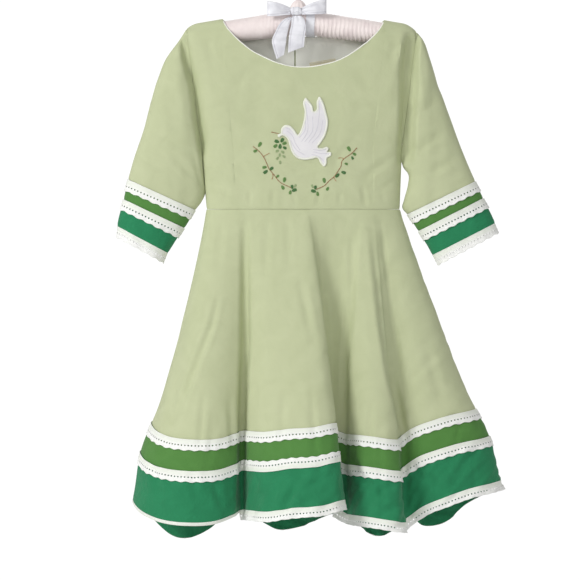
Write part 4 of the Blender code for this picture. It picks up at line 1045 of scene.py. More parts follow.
@dataclass
class Dress:
    """The dress's surfaces with their creases, which every sewn piece is cut from or laid on."""

    shape: BodiceShape = BodiceShape()
    columns_per_fold: int = 8
    band_seam: float = 0.737
    emerald_seam: float = 0.837
    skirt_length: float = 400.0
    lace_width: float = 13.0
    skirt_rows: tuple[int, int, int] = (74, 85, 102)
    flute_swell: float = 8.5
    swell_share: float = 0.83
    swell_run: float = 0.12
    sleeve_half: int = 26
    sleeve_rows: tuple[int, int, int] = (55, 63, 74)
    back_crease: float = 0.75
    eased_below: tuple[float, float] = (-112.0, 30.0)
    under_bar: float = -116.0
    groove_fade: float = 22.0
    calm_columns: float = 6.0
    calm_rows: float = 5.0
    sleeve_roundness: float = 0.85
    front: Surface = field(init=False)
    back: Surface = field(init=False)
    skirt: Surface = field(init=False)
    skirt_shares: Grid = field(init=False)
    sleeves: dict[Side, Surface] = field(init=False)
    chest: BVHTree = field(init=False)

    def __post_init__(self) -> None:
        """Work out every surface."""
        shape = self.shape
        centre = (BACK_FOLDS[BACK_SEAM_FOLD].waist_x - shape.waist[0]) / (shape.waist[1] - shape.waist[0])
        self.front = self.creased_bodice(shape.surface(False))
        self.back = self.creased_bodice(shape.surface(True, centre))
        self.skirt = self.make_skirt()
        self.sleeves = {}
        for side, sections, strokes in ((Side.LEFT, LEFT_SLEEVE, LEFT_SLEEVE_STROKES),
                                        (Side.RIGHT, RIGHT_SLEEVE, RIGHT_SLEEVE_STROKES)):
            self.make_sleeve(side, sections, strokes)
        faces, _ = grid_faces(*self.front.points.shape[:2], False)
        corners = [Vector(p) for p in self.front.points.reshape(-1, 3)]
        self.chest = BVHTree.FromPolygons(corners, faces.tolist())

    def eased(self, points: Grid, passes: int = 90) -> Grid:
        """Even out the bodice's depth below the shoulders, where its rules meet."""
        points = points.copy()
        y, z = points[:, 1:-1, 1], points[:, 1:-1, 2]
        above = 1 / np.maximum(0.3, np.diff(z, axis=0))
        low, high = above[:-1], above[1:]
        top, run = self.eased_below
        amount = 0.85 * np.clip((top - z[1:-1]) / run, 0, 1)
        for _ in range(passes):
            y[1:-1] += amount * ((low * y[:-2] + high * y[2:]) / (low + high) - y[1:-1])
        return points

    def sunk(self, points: Grid) -> Grid:
        """Draw the cloth in along both armholes, where the sleeves fold over."""
        points = points.copy()
        for groove in ARMHOLE_GROOVES:
            path = np.array(groove.path)[::-1]
            x, y, z = points[..., 0], points[..., 1], points[..., 2]
            away = x - np.interp(z, path[:, 1], path[:, 0])
            half = np.where(away < 0, groove.left_half, groove.right_half)
            level = np.clip(np.minimum(z - path[0, 1], path[-1, 1] - z) / self.groove_fade, 0, 1)
            depth = groove.depth * np.exp(-np.abs(away / half) ** groove.power) * np.sin(level * math.pi / 2)
            points[..., 1] = np.sign(y) * np.maximum(np.abs(y) * 0.2, np.abs(y) - depth)
        return points

    def creased_bodice(self, surface: Surface) -> Surface:
        """Give the bodice its creases and unevenness, none of it at the edges."""
        surface.points = self.sunk(self.eased(surface.points))
        points = surface.points
        across, down = surface.weave()
        rows, columns = points.shape[:2]
        relief = sum(stroke.relief(points[..., 0], points[..., 2]) for stroke in BODICE_STROKES)
        relief = relief * (self.back_crease if surface.flip else 1.0)
        relief = relief + Ripple(0.45, 80.0, 26.0, 11 if surface.flip else 5).relief(across, down)
        column = np.minimum(np.arange(columns), np.arange(columns)[::-1])[None, :] / self.calm_columns
        row = np.minimum(np.arange(rows), np.arange(rows)[::-1])[:, None] / self.calm_rows
        relief = relief * np.clip(column, 0, 1) * np.clip(row, 0, 1)
        on_bar = points[..., 2] > self.under_bar
        return surface.moved(np.where(on_bar, np.maximum(relief, 0.0) + 0.15, relief))

    def make_skirt(self) -> Surface:
        """Points of the whole skirt, waist row first, round from the left side seam by the front."""
        folds = (LEFT_SEAM, *FRONT_FOLDS, RIGHT_SEAM, *BACK_FOLDS)
        front_steps = len(FRONT_FOLDS) + 1
        table = np.array([(float(self.shape.waist_y(np.array(fold.waist_x), place > front_steps)), *fold)
                          for place, fold in enumerate(folds)])
        hem = table[:, 2:4]
        gaps = np.linalg.norm(np.roll(hem, -1, 0) - hem, axis=1)
        places = np.arange(len(folds) * self.columns_per_fold) / self.columns_per_fold
        start_y, waist_x, hem_x, hem_y, hem_z, spread = curve_at(table, gaps, places, closed=True).T
        band, emerald, hem_row = self.skirt_rows
        self.skirt_shares = np.concatenate([
            np.linspace(0, self.band_seam, band + 1),
            np.linspace(self.band_seam, self.emerald_seam, emerald - band + 1)[1:],
            np.linspace(self.emerald_seam, 1.0, hem_row - emerald + 1)[1:],
            [1.012, 1.024, 1 + self.lace_width / self.skirt_length]])
        shares = self.skirt_shares[:, None]
        out = shares**spread
        waist_z = self.shape.waist_z
        points = np.stack([waist_x + (hem_x - waist_x) * out, start_y + (hem_y - start_y) * out,
                           waist_z + (hem_z - waist_z) * shares], 2)
        outer = np.clip((np.abs(hem_x - 20.0) - 160.0) / 50.0, 0, 1)
        swell = outer * np.exp(-((shares - self.swell_share) / self.swell_run) ** 2)
        points[..., 0] += np.sign(hem_x) * self.flute_swell * swell
        surface = Surface(points, closed=True, flip=True)
        across, down = surface.lengths()
        front = surface.normals()[..., 1] < 0.25
        x, z = points[..., 0], points[..., 2]
        seen = sum(stroke.relief(x, z) for stroke in SKIRT_STROKES)
        hidden = sum(stroke.relief(-x, z) for stroke in SKIRT_STROKES) * 0.9
        relief = np.where(front, seen, hidden)
        circle = np.arange(points.shape[1]) * math.tau / points.shape[1]
        across, down = across[:, :-1], down[:, :-1]
        ripple = Ripple(0.5, 90.0, 24.0, 8)
        fade = 0.5 + 0.5 * np.cos(circle)
        relief = relief + ripple.relief(across, down) * (1 - fade**6)
        creased = Ripple(1.1, 38.0, 13.0, 21).relief(across, down)
        relief = relief + creased * np.clip((shares - self.emerald_seam) * 25, 0, 1) * (1 - fade**6)
        edge = np.clip(shares * 14, 0, 1)
        return surface.moved(relief * edge)

    def make_sleeve(self, side: Side, sections: tuple[Section, ...], strokes: tuple[Stroke, ...]) -> None:
        """Points of one sleeve, armhole row first, round from its outer edge by the front."""
        shape, end = self.shape, 0 if side is Side.LEFT else 1
        tip, under = shape.tips[end], shape.underarm[end]
        gap = math.copysign(0.1, tip)
        armhole = Section(tip + gap, float(shape.hanger.crest(np.array(tip))), under + gap, shape.underarm_z,
                          shape.armhole_depth)
        table = np.array((armhole, *sections), float)
        middles = np.stack([(table[:, 0] + table[:, 2]) / 2, (table[:, 1] + table[:, 3]) / 2], 1)
        gaps = np.linalg.norm(np.diff(middles, axis=0), axis=1)
        band = len(sections) - 3
        first, second, third = self.sleeve_rows
        runs = ((0, band, first), (band, band + 1, second - first), (band + 1, band + 2, third - second),
                (band + 2, band + 3, 3))
        places = np.concatenate([[0.0], *(np.linspace(a, b, count + 1)[1:] for a, b, count in runs)])
        outer_x, outer_z, inner_x, inner_z, depth = curve_at(table, gaps, places, closed=False).T[..., None]
        turn = np.arange(2 * self.sleeve_half) * math.pi / self.sleeve_half
        toward = (1 + np.cos(turn)) / 2
        round_share = np.minimum(1.0, places)[:, None]
        roundness = shape.armhole_roundness + (self.sleeve_roundness - shape.armhole_roundness) * round_share
        swell = np.abs(np.sin(turn)) ** roundness
        swell[:, 0] = swell[:, self.sleeve_half] = 0.0
        y = depth * swell * np.where(np.arange(len(turn)) < self.sleeve_half, -1, 1)
        points = np.stack([inner_x + (outer_x - inner_x) * toward, y,
                           inner_z + (outer_z - inner_z) * toward], 2)
        surface = Surface(self.sunk(points), closed=True)
        points = surface.points
        out = surface.normals()
        surface.flip = bool(np.sum(out * (points - points.mean(axis=1, keepdims=True))) < 0)
        across, down = surface.lengths()
        relief = sum(stroke.relief(points[..., 0], points[..., 2]) for stroke in strokes)
        relief = relief * np.where(points[..., 1] < 0, 1.0, 0.8)
        seam = 0.5 + 0.5 * np.cos(np.arange(points.shape[1]) * math.tau / points.shape[1])
        ripple = Ripple(0.5, 60.0, 20.0, 3 + end).relief(across[:, :-1], down[:, :-1])
        relief = relief + ripple * (1 - seam**8)
        edge = np.clip(np.arange(len(places)) / 8.0, 0, 1)[:, None]
        made = surface.moved(relief * edge)
        for row, (aside, inner) in enumerate(((2.0, 1.5), (0.0, 0.8), (0.0, 0.3))):
            made.points[row, :, 0] -= math.copysign(aside, tip)
            depth = made.points[row, :, 1]
            made.points[row, :, 1] = np.sign(depth) * np.maximum(np.abs(depth) - inner, 0.0)
        self.sleeves[side] = made

    def on_chest(self, x: float, z: float, lift: float = 0.0) -> tuple[Vector, Vector]:
        """The point of the front at x and z, and the direction out of it.

        Args:
            x: place across in millimetres.
            z: place up in millimetres.
            lift: how far off the cloth.

        Returns:
            The point and the direction.
        """
        place, out, _, _ = self.chest.ray_cast(Vector((x, -400.0, z)), Vector((0.0, 1.0, 0.0)))
        if out.y > 0:
            out = -out
        return place + out * lift, out


def instance_tree(name: str, shape: str) -> bpy.types.NodeTree:
    """Build the node tree that sews one small shape at every point of a mesh.

    The points carry the attributes out, along and size. The shape is a ring of thread, or a
    stitch or leaf that is a small rounded pad, longest along its run.

    Args:
        name: the tree's name.
        shape: "ring" or "pad".

    Returns:
        The tree, with inputs Radius, Thread, Height and Finish.
    """
    tree = bpy.data.node_groups.new(name, "GeometryNodeTree")
    face = tree.interface
    face.new_socket("Points", in_out="INPUT", socket_type="NodeSocketGeometry")
    for size in ("Radius", "Thread", "Height"):
        face.new_socket(size, in_out="INPUT", socket_type="NodeSocketFloat")
    face.new_socket("Finish", in_out="INPUT", socket_type="NodeSocketMaterial")
    face.new_socket("Sewn", in_out="OUTPUT", socket_type="NodeSocketGeometry")
    given = add_node(tree, "NodeGroupInput").outputs
    if shape == "ring":
        loop, thread = (add_node(tree, "GeometryNodeCurvePrimitiveCircle",
                                 {"Resolution": sides, "Radius": given[key]}).outputs["Curve"]
                        for sides, key in ((8, "Radius"), (4, "Thread")))
        swept = add_node(tree, "GeometryNodeCurveToMesh", {"Curve": loop, "Profile Curve": thread})
        solid = swept.outputs[0]
    else:
        ball = add_node(tree, "GeometryNodeMeshUVSphere", {"Segments": 6, "Rings": 4, "Radius": 1.0})
        size = add_node(tree, "ShaderNodeCombineXYZ", {"X": given["Radius"], "Y": given["Thread"],
                                                       "Z": given["Height"]}).outputs[0]
        solid = add_node(tree, "GeometryNodeTransform", {"Geometry": ball.outputs["Mesh"],
                                                         "Scale": size}).outputs[0]
    vectors = {key: add_node(tree, "GeometryNodeInputNamedAttribute", {"Name": key},
                             data_type="FLOAT_VECTOR").outputs[0] for key in ("out", "along", "size")}
    turn = add_node(tree, "FunctionNodeAxesToRotation", {0: vectors["out"], 1: vectors["along"]},
                    primary_axis="Z", secondary_axis="X")
    points = add_node(tree, "GeometryNodeMeshToPoints", {"Mesh": given["Points"]})
    placed = add_node(tree, "GeometryNodeInstanceOnPoints", {"Points": points.outputs[0], "Instance": solid,
                                                             "Rotation": turn.outputs[0],
                                                             "Scale": vectors["size"]})
    real = add_node(tree, "GeometryNodeRealizeInstances", {"Geometry": placed.outputs[0]})
    smooth = add_node(tree, "GeometryNodeSetShadeSmooth", {"Geometry": real.outputs[0]})
    dressed = add_node(tree, "GeometryNodeSetMaterial", {"Geometry": smooth.outputs[0],
                                                         "Material": given["Finish"]})
    add_node(tree, "NodeGroupOutput", {"Sewn": dressed.outputs[0]})
    return tree


@dataclass
class Stitching:
    """Small sewn shapes at points on the cloth, made by one node tree."""

    name: str
    shape: str
    radius: float
    thread: float
    finish: bpy.types.Material
    height: float = 0.4
    places: list[tuple[Any, Any, Any, float]] = field(default_factory=list)

    def add(self, place: Sequence[float], out: Sequence[float], along: Sequence[float],
            size: float = 1.0) -> None:
        """Add one stitch at a place in millimetres."""
        self.places.append((tuple(place), tuple(out), tuple(along), size))

    def build(self) -> bpy.types.Object:
        """Sew the shapes and turn the result into a plain mesh that rides on the garment."""
        mesh = bpy.data.meshes.new(self.name + " points")
        mesh.from_pydata([tuple(c * MM for c in place[0]) for place in self.places], [], [])
        for key, values in (("out", [p[1] for p in self.places]), ("along", [p[2] for p in self.places]),
                            ("size", [(p[3],) * 3 for p in self.places])):
            layer = mesh.attributes.new(key, "FLOAT_VECTOR", "POINT")
            layer.data.foreach_set("vector", np.array(values, dtype=np.float32).ravel())
        maker = bpy.data.objects.new(self.name + " maker", mesh)
        bpy.context.scene.collection.objects.link(maker)
        tree = instance_tree(self.name + " tree", self.shape)
        values_of = {"Radius": self.radius * MM, "Thread": self.thread * MM, "Height": self.height * MM,
                     "Finish": self.finish}
        modifier = maker.modifiers.new("sewing", "NODES")
        modifier.node_group = tree
        for item in tree.interface.items_tree:
            if item.in_out == "INPUT" and item.name in values_of:
                modifier[item.identifier] = values_of[item.name]
        depsgraph = bpy.context.evaluated_depsgraph_get()
        sewn = bpy.data.meshes.new_from_object(maker.evaluated_get(depsgraph), depsgraph=depsgraph)
        sewn.name = self.name
        bpy.data.objects.remove(maker)
        piece = bpy.data.objects.new(self.name, sewn)
        bpy.context.scene.collection.objects.link(piece)
        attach(piece, GARMENT)
        LOG.info("%s: %d shapes, %d faces", self.name, len(self.places), len(sewn.polygons))
        return piece


@dataclass
class LaceStrip:
    """Scalloped eyelet edging sewn round a surface, with real holes, a stitched edge and ringed eyelets."""

    surface: Surface
    first_row: float
    row_of: Any
    columns: tuple[float, float]
    closed: bool = False
    lift: float = 1.2
    width: float = 13.0
    spacing: float = 4.45
    scallop: int = 3
    wave: float = 0.9
    wall: float = 0.5
    eyelet: float = 1.02
    eyelet_down: float = 7.9
    turned: bool = False
    curl: float = 0.0
    ruffle: float = 0.7
    shows: float = 4.6
    rolls: float = 1.4
    column_places: Grid = field(init=False)
    lengths: Grid = field(init=False)
    total: float = field(init=False)
    count: int = field(init=False)
    spacing_used: float = field(init=False)
    curl_depth: float = field(init=False)

    def frame_at(self, across: Grid, down: Grid) -> tuple[Grid, Grid]:
        """Points and outward directions of the strip.

        Args:
            across: distances along the strip from its start.
            down: distances from its sewn edge.

        Returns:
            The points and the directions.
        """
        phase = math.tau * across / (self.spacing_used * self.scallop)
        low = np.clip((down - 9.0) / 4.0, 0, 1)
        deep = down + self.wave * low * (-np.cos(phase)) * 0.8
        if self.turned:
            deep = self.width - deep
        under = np.maximum(0.0, deep - self.curl_depth) if self.curl else np.zeros(down.shape)
        deep = np.where(under > 0, self.curl_depth - under * 0.8, deep)
        columns = np.interp(across, self.lengths, self.column_places)
        rows = self.row_of(self.first_row, deep)
        points, out = self.surface.at(rows, columns)
        swing = self.ruffle * (0.55 * np.sin(math.tau * across / 31.0 + 1.3)
                               + 0.45 * np.sin(math.tau * across / 12.5))
        free = np.clip(down / self.width, 0, 1) ** 1.5
        behind = math.copysign(1.0, self.curl) * np.minimum(under * 1.5, 2.4)
        up = self.lift + np.maximum(0.0, 0.25 + swing) * free - behind
        return points + out * up[..., None], out

    def prepare(self) -> None:
        """Measure the run of the strip and fit whole eyelets into it."""
        start, end = self.columns
        self.column_places = np.linspace(start, end, max(40, int(abs(end - start) * 3)))
        rows = self.row_of(self.first_row, np.full(len(self.column_places), self.width * 0.6))
        line, _ = self.surface.at(rows, self.column_places)
        self.lengths = np.concatenate([[0.0], np.cumsum(np.linalg.norm(np.diff(line, axis=0), axis=1))])
        self.total = float(self.lengths[-1])
        self.count = max(3, round(self.total / (self.spacing * self.scallop))) * self.scallop
        self.spacing_used = self.total / self.count
        self.curl_depth = self.shows if self.curl > 0 else self.rolls

    def build(self, parts: MeshParts, rings: Stitching) -> float:
        """Add the strip's cloth and edge to a mesh and its eyelet rings to the stitching.

        Args:
            parts: the mesh of this edging.
            rings: the stitching that rings the eyelets.

        Returns:
            The strip's length in millimetres.
        """
        self.prepare()
        downs = np.array([0.0, 2.6, 5.3, self.eyelet_down, 10.5, 11.5, 12.4, self.width])
        columns = 2 * self.count if self.closed else 2 * self.count + 1
        step = self.spacing_used / 2
        across = np.tile(np.arange(columns) * step, (len(downs), 1))
        down = np.tile(downs[:, None], (1, columns))
        ring_turn = np.arange(8) * math.pi / 4
        middle = (np.arange(self.count) + 0.5) * self.spacing_used
        hole_across = middle[:, None] + self.eyelet * np.cos(ring_turn)
        hole_down = self.eyelet_down + self.eyelet * np.sin(ring_turn) * np.ones((self.count, 1))
        all_across = np.concatenate([across.ravel(), hole_across.ravel()])
        all_down = np.concatenate([down.ravel(), hole_down.ravel()])
        points, out = self.frame_at(all_across, all_down)
        size = len(downs) * columns

        def at(row: int, column: int) -> int:
            """Number of a grid point."""
            return row * columns + column % columns

        faces: list[tuple[int, ...]] = []
        for unit_number in range(self.count):
            left = 2 * unit_number
            for row in (0, 1, 4, 5, 6):
                for column in (left, left + 1):
                    faces.append((at(row, column), at(row, column + 1), at(row + 1, column + 1),
                                  at(row + 1, column)))
            rim = [at(3, left + 2), at(4, left + 2), at(4, left + 1), at(4, left), at(3, left), at(2, left),
                   at(2, left + 1), at(2, left + 2)]
            hole = [size + 8 * unit_number + k for k in range(8)]
            for k in range(8):
                following = (k + 1) % 8
                faces.append((rim[k], hole[k], hole[following], rim[following]))
        a, b, c = (points[faces[0][k]] for k in (0, 1, 2))
        if np.dot(np.cross(b - a, c - a), out[faces[0][0]]) < 0:
            faces = [face[::-1] for face in faces]
        corners = [(float(all_across[i]) * MM, float(all_down[i]) * MM) for face in faces for i in face]
        parts.add_shell(points, points - out * self.wall, faces, corners, 0)
        line_across = np.arange(0, columns) * step
        edge, edge_out = self.frame_at(line_across, np.full(columns, self.width + 0.1))
        add_tube(parts, edge - edge_out * 0.2, 0.95, 6, 1, self.closed, 0.62, edge_out)
        seam, seam_out = self.frame_at(line_across[::2], np.full(len(line_across[::2]), 0.25))
        add_tube(parts, seam, 0.32, 4, 1, self.closed, 1.0, seam_out)
        centres, facing = self.frame_at(middle, np.full(self.count, self.eyelet_down))
        ahead, _ = self.frame_at(middle + 0.5, np.full(self.count, self.eyelet_down))
        for place, direction, following in zip(centres, facing, ahead):
            rings.add(place, direction, following - place)
        return self.total


@dataclass(frozen=True)
class LaceFinish:
    """Materials of the eyelet edging, and the sizes of its rings."""

    cloth: bpy.types.Material
    edge: bpy.types.Material
    rim: bpy.types.Material
    ring_radius: float = 1.16
    ring_thread: float = 0.2
    area_share: float = 0.95

    def sew(self, node: str, where: str, strips: Sequence[LaceStrip], rests_on: str) -> None:
        """Args:
            node: the edging's name.
            where: the side or the half of the dress that ends its name.
            strips: its strips, in order.
            rests_on: the cloth that it is sewn to; not used.
        """
        rings = Stitching(f"{node}_{where}_eyelets", "ring", self.ring_radius, self.ring_thread, self.rim)
        parts, width = MeshParts(), strips[0].width
        length = sum(strip.build(parts, rings) for strip in strips)
        made = parts.build(f"{node}_{where}_edging", self.cloth, self.edge)
        cut = length * MM, width * MM, length * width * self.area_share * MM * MM
        declare(made, [f"{node}_{where}"], cut, [rings.build()])


@dataclass
class Bodice:
    """Front, two backs, the pale lining inside the back neck and the blank woven label."""

    dress: Dress
    cloth: bpy.types.Material
    lining: bpy.types.Material
    label_cloth: bpy.types.Material
    thread: bpy.types.Material
    wall: float = 1.1
    lining_wall: float = 0.8
    lay_gap: float = 0.35
    lining_length: float = 64.0
    centre_gap: float = 1.8
    label_place: tuple[float, float] = (12.0, -140.6)
    label_size: tuple[float, float] = (33.0, 15.0)
    label_tilt: float = 0.17

    def build(self) -> None:
        """Make and declare every piece."""
        self.front()
        self.backs()
        self.inside()
        self.label()

    def neck_edge(self, parts: MeshParts, surface: Surface, columns: Sequence[int]) -> None:
        """Add the pale rolled edge where the lining meets the cloth along a neckline."""
        normals = surface.normals()
        line = surface.points[-1, list(columns)] - normals[-1, list(columns)] * self.wall * 0.55
        add_tube(parts, line, 0.8, 8, 1)

    def front(self) -> None:
        """Front, from armhole to armhole."""
        surface, shape = self.dress.front, self.dress.shape
        parts = ClothPiece(surface, surface.normals(), self.wall, ALL_EDGES).parts()
        first = shape.shoulder_columns
        self.neck_edge(parts, surface, range(first + 3, first + 2 * shape.half_neck_columns - 2))
        made = parts.build("bodice_front_cloth", self.cloth, self.lining)
        declare(made, ["bodice_front"], sheet_size(surface))

    def backs(self) -> None:
        """Two backs that meet at the zip."""
        surface, shape = self.dress.back, self.dress.shape
        centre = shape.shoulder_columns + shape.half_neck_columns
        last = surface.points.shape[1] - 1
        normals = surface.normals()
        for side, columns in ((Side.LEFT, (0, centre)), (Side.RIGHT, (centre, last))):
            part = surface.part((0, surface.points.shape[0] - 1), columns)
            facing = normals[:, columns[0]:columns[1] + 1]
            parts = ClothPiece(part, facing, self.wall, ALL_EDGES).parts()
            start = shape.shoulder_columns if side is Side.LEFT else 0
            end = centre if side is Side.LEFT else shape.half_neck_columns
            start, end = start + 3 * (side is Side.LEFT), end + 1 - 3 * (side is Side.RIGHT)
            self.neck_edge(parts, part, range(start, end))
            made = parts.build(f"bodice_back_{side.value}_cloth", self.cloth, self.lining)
            declare(made, [f"bodice_back_{side.value}"], sheet_size(part))

    def inside(self) -> None:
        """Pale lining inside the back neck, on both sides of the zip tape."""
        surface, shape = self.dress.back, self.dress.shape
        centre = shape.shoulder_columns + shape.half_neck_columns
        heights = surface.points[:, centre, 2]
        rows = int(np.argmax(heights > heights[-1] - self.lining_length)), surface.points.shape[0] - 1
        normals = surface.normals()
        inset = self.wall + self.lay_gap + 1.5
        edge = self.centre_gap / 2
        for side, columns in ((Side.LEFT, range(shape.shoulder_columns, centre + 1)),
                              (Side.RIGHT, range(centre, centre + shape.half_neck_columns + 1))):
            columns = list(columns)
            block = surface.points[rows[0]:rows[1] + 1][:, columns]
            facing = normals[rows[0]:rows[1] + 1][:, columns]
            last, before = (-1, -2) if side is Side.LEFT else (0, 1)
            step = block[:, before] - block[:, last]
            block[:, last] += step * edge / np.linalg.norm(step, axis=1, keepdims=True)
            block = block - facing * inset
            part = Surface(block, False, surface.flip)
            piece = ClothPiece(part, facing, self.lining_wall, roll=0.0)
            made = piece.parts().build(f"neck_lining_{side.value}_cloth", self.lining)
            declare(made, [f"neck_lining_{side.value}"], sheet_size(part))

    def back_depth(self, x: Grid, z: Grid) -> Grid:
        """Depth of the back's outer face at x and z."""
        points = self.dress.back.points.transpose(1, 0, 2)
        depths = np.array([np.interp(z, column[:, 2], column[:, 1]) for column in points])
        places = np.array([np.interp(z, column[:, 2], column[:, 0]) for column in points])
        return np.array([np.interp(x[k], places[:, k], depths[:, k]) for k in range(len(x))])

    def label(self) -> None:
        """Blank cream label, stitched on a little askew, its lower corners lifting."""
        rows, columns = 14, 26
        down, across = np.meshgrid(np.linspace(0, self.label_size[1], rows),
                                   np.linspace(0, self.label_size[0], columns), indexing="ij")
        x = self.label_place[0] + across + down * self.label_tilt
        z = self.label_place[1] + across * self.label_tilt - down
        inside = self.wall + self.lay_gap * 2 + self.lining_wall + 1.5
        y = self.back_depth(x.ravel(), z.ravel()).reshape(x.shape) - inside - 0.6
        corner = np.abs(2 * across / self.label_size[0] - 1)
        lift = 0.9 * (down / self.label_size[1]) ** 2 * (0.4 + 0.6 * corner)
        surface = Surface(np.stack([x, y - lift, z], 2))
        facing = np.broadcast_to((0.0, -1.0, 0.0), surface.points.shape)
        parts = ClothPiece(surface, facing, 0.5, roll=0.0).parts()
        for row in (1, rows - 2):
            add_tube(parts, surface.points[row, 1:-1] + (0, -0.15, 0), 0.22, 4, 1)
        made = parts.build("neck_label_cloth", self.label_cloth, self.thread)
        declare(made, ["neck_label"], sheet_size(surface))


@dataclass
class Sleeves:
    """Three-quarter sleeves: sage cloth, grass and emerald bands, and three eyelet edgings each."""

    dress: Dress
    sage: bpy.types.Material
    grass: bpy.types.Material
    emerald: bpy.types.Material
    lace: LaceFinish
    wall: float = 1.1

    def build(self) -> None:
        """Make and declare every piece of both sleeves."""
        for side, surface in self.dress.sleeves.items():
            band, emerald, cuff = self.dress.sleeve_rows
            normals = surface.normals()
            for node, rows, cloth, slot, edges in (
                    ("sleeve", (0, band), self.sage, "sage_cotton", ("last",)),
                    ("sleeve_band", (band, emerald), self.grass, "grass_cotton", ("first", "last")),
                    ("sleeve_emerald", (emerald, cuff), self.emerald, "emerald_cotton", ("first", "last"))):
                part = surface.part(rows)
                piece = ClothPiece(part, normals[rows[0]:rows[1] + 1], self.wall, edges)
                made = piece.parts().build(f"{node}_{side.value}_cloth", cloth)
                declare(made, [f"{node}_{side.value}"], sheet_size(part))
            self.laces(side, surface, (band, emerald, cuff))

    def laces(self, side: Side, surface: Surface, rows: tuple[int, int, int]) -> None:
        """Make the three edgings of one sleeve.

        Args:
            side: which sleeve.
            surface: its surface.
            rows: the rows of its three seams.
        """
        _, down = surface.lengths()
        mean = down.mean(axis=1)
        ends = mean[-1] + np.array([6.0, 12.0])
        long = Surface(np.concatenate([surface.points, *[self.further(surface, d) for d in (6.0, 12.0)]]),
                       True, surface.flip)
        mean = np.concatenate([mean, ends])

        def row_of(start: float, deep: Grid) -> Grid:
            """Row at a distance below a seam."""
            return np.interp(mean[int(start)] + deep, mean, np.arange(len(mean)))

        count = surface.points.shape[1]
        for node, row, lift, held in (("sleeve_lace_upper", rows[0], 1.1, "sleeve_band"),
                                      ("sleeve_lace_lower", rows[1], 1.1, "sleeve_emerald"),
                                      ("cuff_lace", rows[2], -0.1, "sleeve_emerald")):
            strip = LaceStrip(long, row, row_of, (0.0, float(count)), closed=True, lift=lift)
            self.lace.sew(node, side.value, [strip], f"{held}_{side.value}_cloth")

    def further(self, surface: Surface, distance: float) -> Grid:
        """One row past the cuff, straight on."""
        last, before = surface.points[-1], surface.points[-2]
        return (last + unit(last - before) * distance)[None]


@dataclass
class Skirt:
    """Flared skirt: sage panels, two bands and three eyelet edgings, front and back."""

    dress: Dress
    sage: bpy.types.Material
    grass: bpy.types.Material
    emerald: bpy.types.Material
    lace: LaceFinish
    wall: float = 1.1
    flute_folds: tuple[float, float] = (6.9, 14.2)

    def build(self) -> None:
        """Make and declare every piece."""
        dress, surface = self.dress, self.dress.skirt
        per = dress.columns_per_fold
        band, emerald, hem = dress.skirt_rows
        right = (len(FRONT_FOLDS) + 1) * per
        middle = right + (BACK_SEAM_FOLD + 1) * per
        end = surface.points.shape[1]
        normals = np.concatenate([surface.normals(), surface.normals()[:, :1]], 1)
        sage, grass = (self.sage, "sage_cotton"), (self.grass, "grass_cotton")
        green = self.emerald, "emerald_cotton"
        for name, rows, columns, cloth, slot, held in (
                ("skirt_front", (0, band), (0, right), *sage, "bodice_front"),
                ("skirt_back_right", (0, band), (right, middle), *sage, "bodice_back_right"),
                ("skirt_back_left", (0, band), (middle, end), *sage, "bodice_back_left"),
                ("skirt_band_front", (band, emerald), (0, right), *grass, "skirt_front"),
                ("skirt_band_back", (band, emerald), (right, end), *grass, "skirt_back_left"),
                ("skirt_emerald_front", (emerald, hem), (0, right), *green, "skirt_band_front"),
                ("skirt_emerald_back", (emerald, hem), (right, end), *green, "skirt_band_back")):
            part = surface.part(rows, columns)
            facing = normals[rows[0]:rows[1] + 1, columns[0]:columns[1] + 1]
            made = ClothPiece(part, facing, self.wall, ALL_EDGES).parts().build(f"{name}_cloth", cloth)
            declare(made, [name], sheet_size(part))
        self.laces(right, end)

    def row_of(self, start: float, deep: Grid) -> Grid:
        """Row at a distance below a seam that is given as its share of the skirt."""
        shares = self.dress.skirt_shares
        return np.interp(start + deep / self.dress.skirt_length, shares, np.arange(len(shares)))

    def laces(self, right: int, end: int) -> None:
        """Make the edgings: one turned up on the middle flute, the hem's folded at the left and back."""
        dress, per = self.dress, self.dress.columns_per_fold
        surface = dress.skirt
        valley, panel_end = (fold * per for fold in self.flute_folds)
        for node, share, lift, bands in (
                ("skirt_lace_upper", dress.band_seam, 1.1, "skirt_band"),
                ("skirt_lace_lower", dress.emerald_seam, 1.1, "skirt_emerald"),
                ("hem_lace", 1.0, -0.1, "skirt_emerald")):
            for half, start, stop in (("front", 0, right), ("back", right, end)):
                runs: list[tuple[float, float, dict[str, Any]]] = [(start + 0.1, stop - 0.1, {})]
                if half == "front" and node == "skirt_lace_lower":
                    runs = [(0.1, valley - 0.3, {}), (valley, panel_end, {"turned": True}),
                            (panel_end + 0.3, stop - 0.1, {})]
                if half == "front" and node == "hem_lace":
                    runs = [(0.1, valley - 0.6, {"curl": 1.0}), (valley - 0.4, stop - 0.1, {})]
                if half == "back" and node == "hem_lace":
                    runs = [(start + 0.1, stop - 0.1, {"curl": -1.0})]
                strips = [LaceStrip(surface, share, self.row_of, (first, last), lift=lift, **extra)
                          for first, last, extra in runs]
                self.lace.sew(node, half, strips, f"{bands}_{half}_cloth")


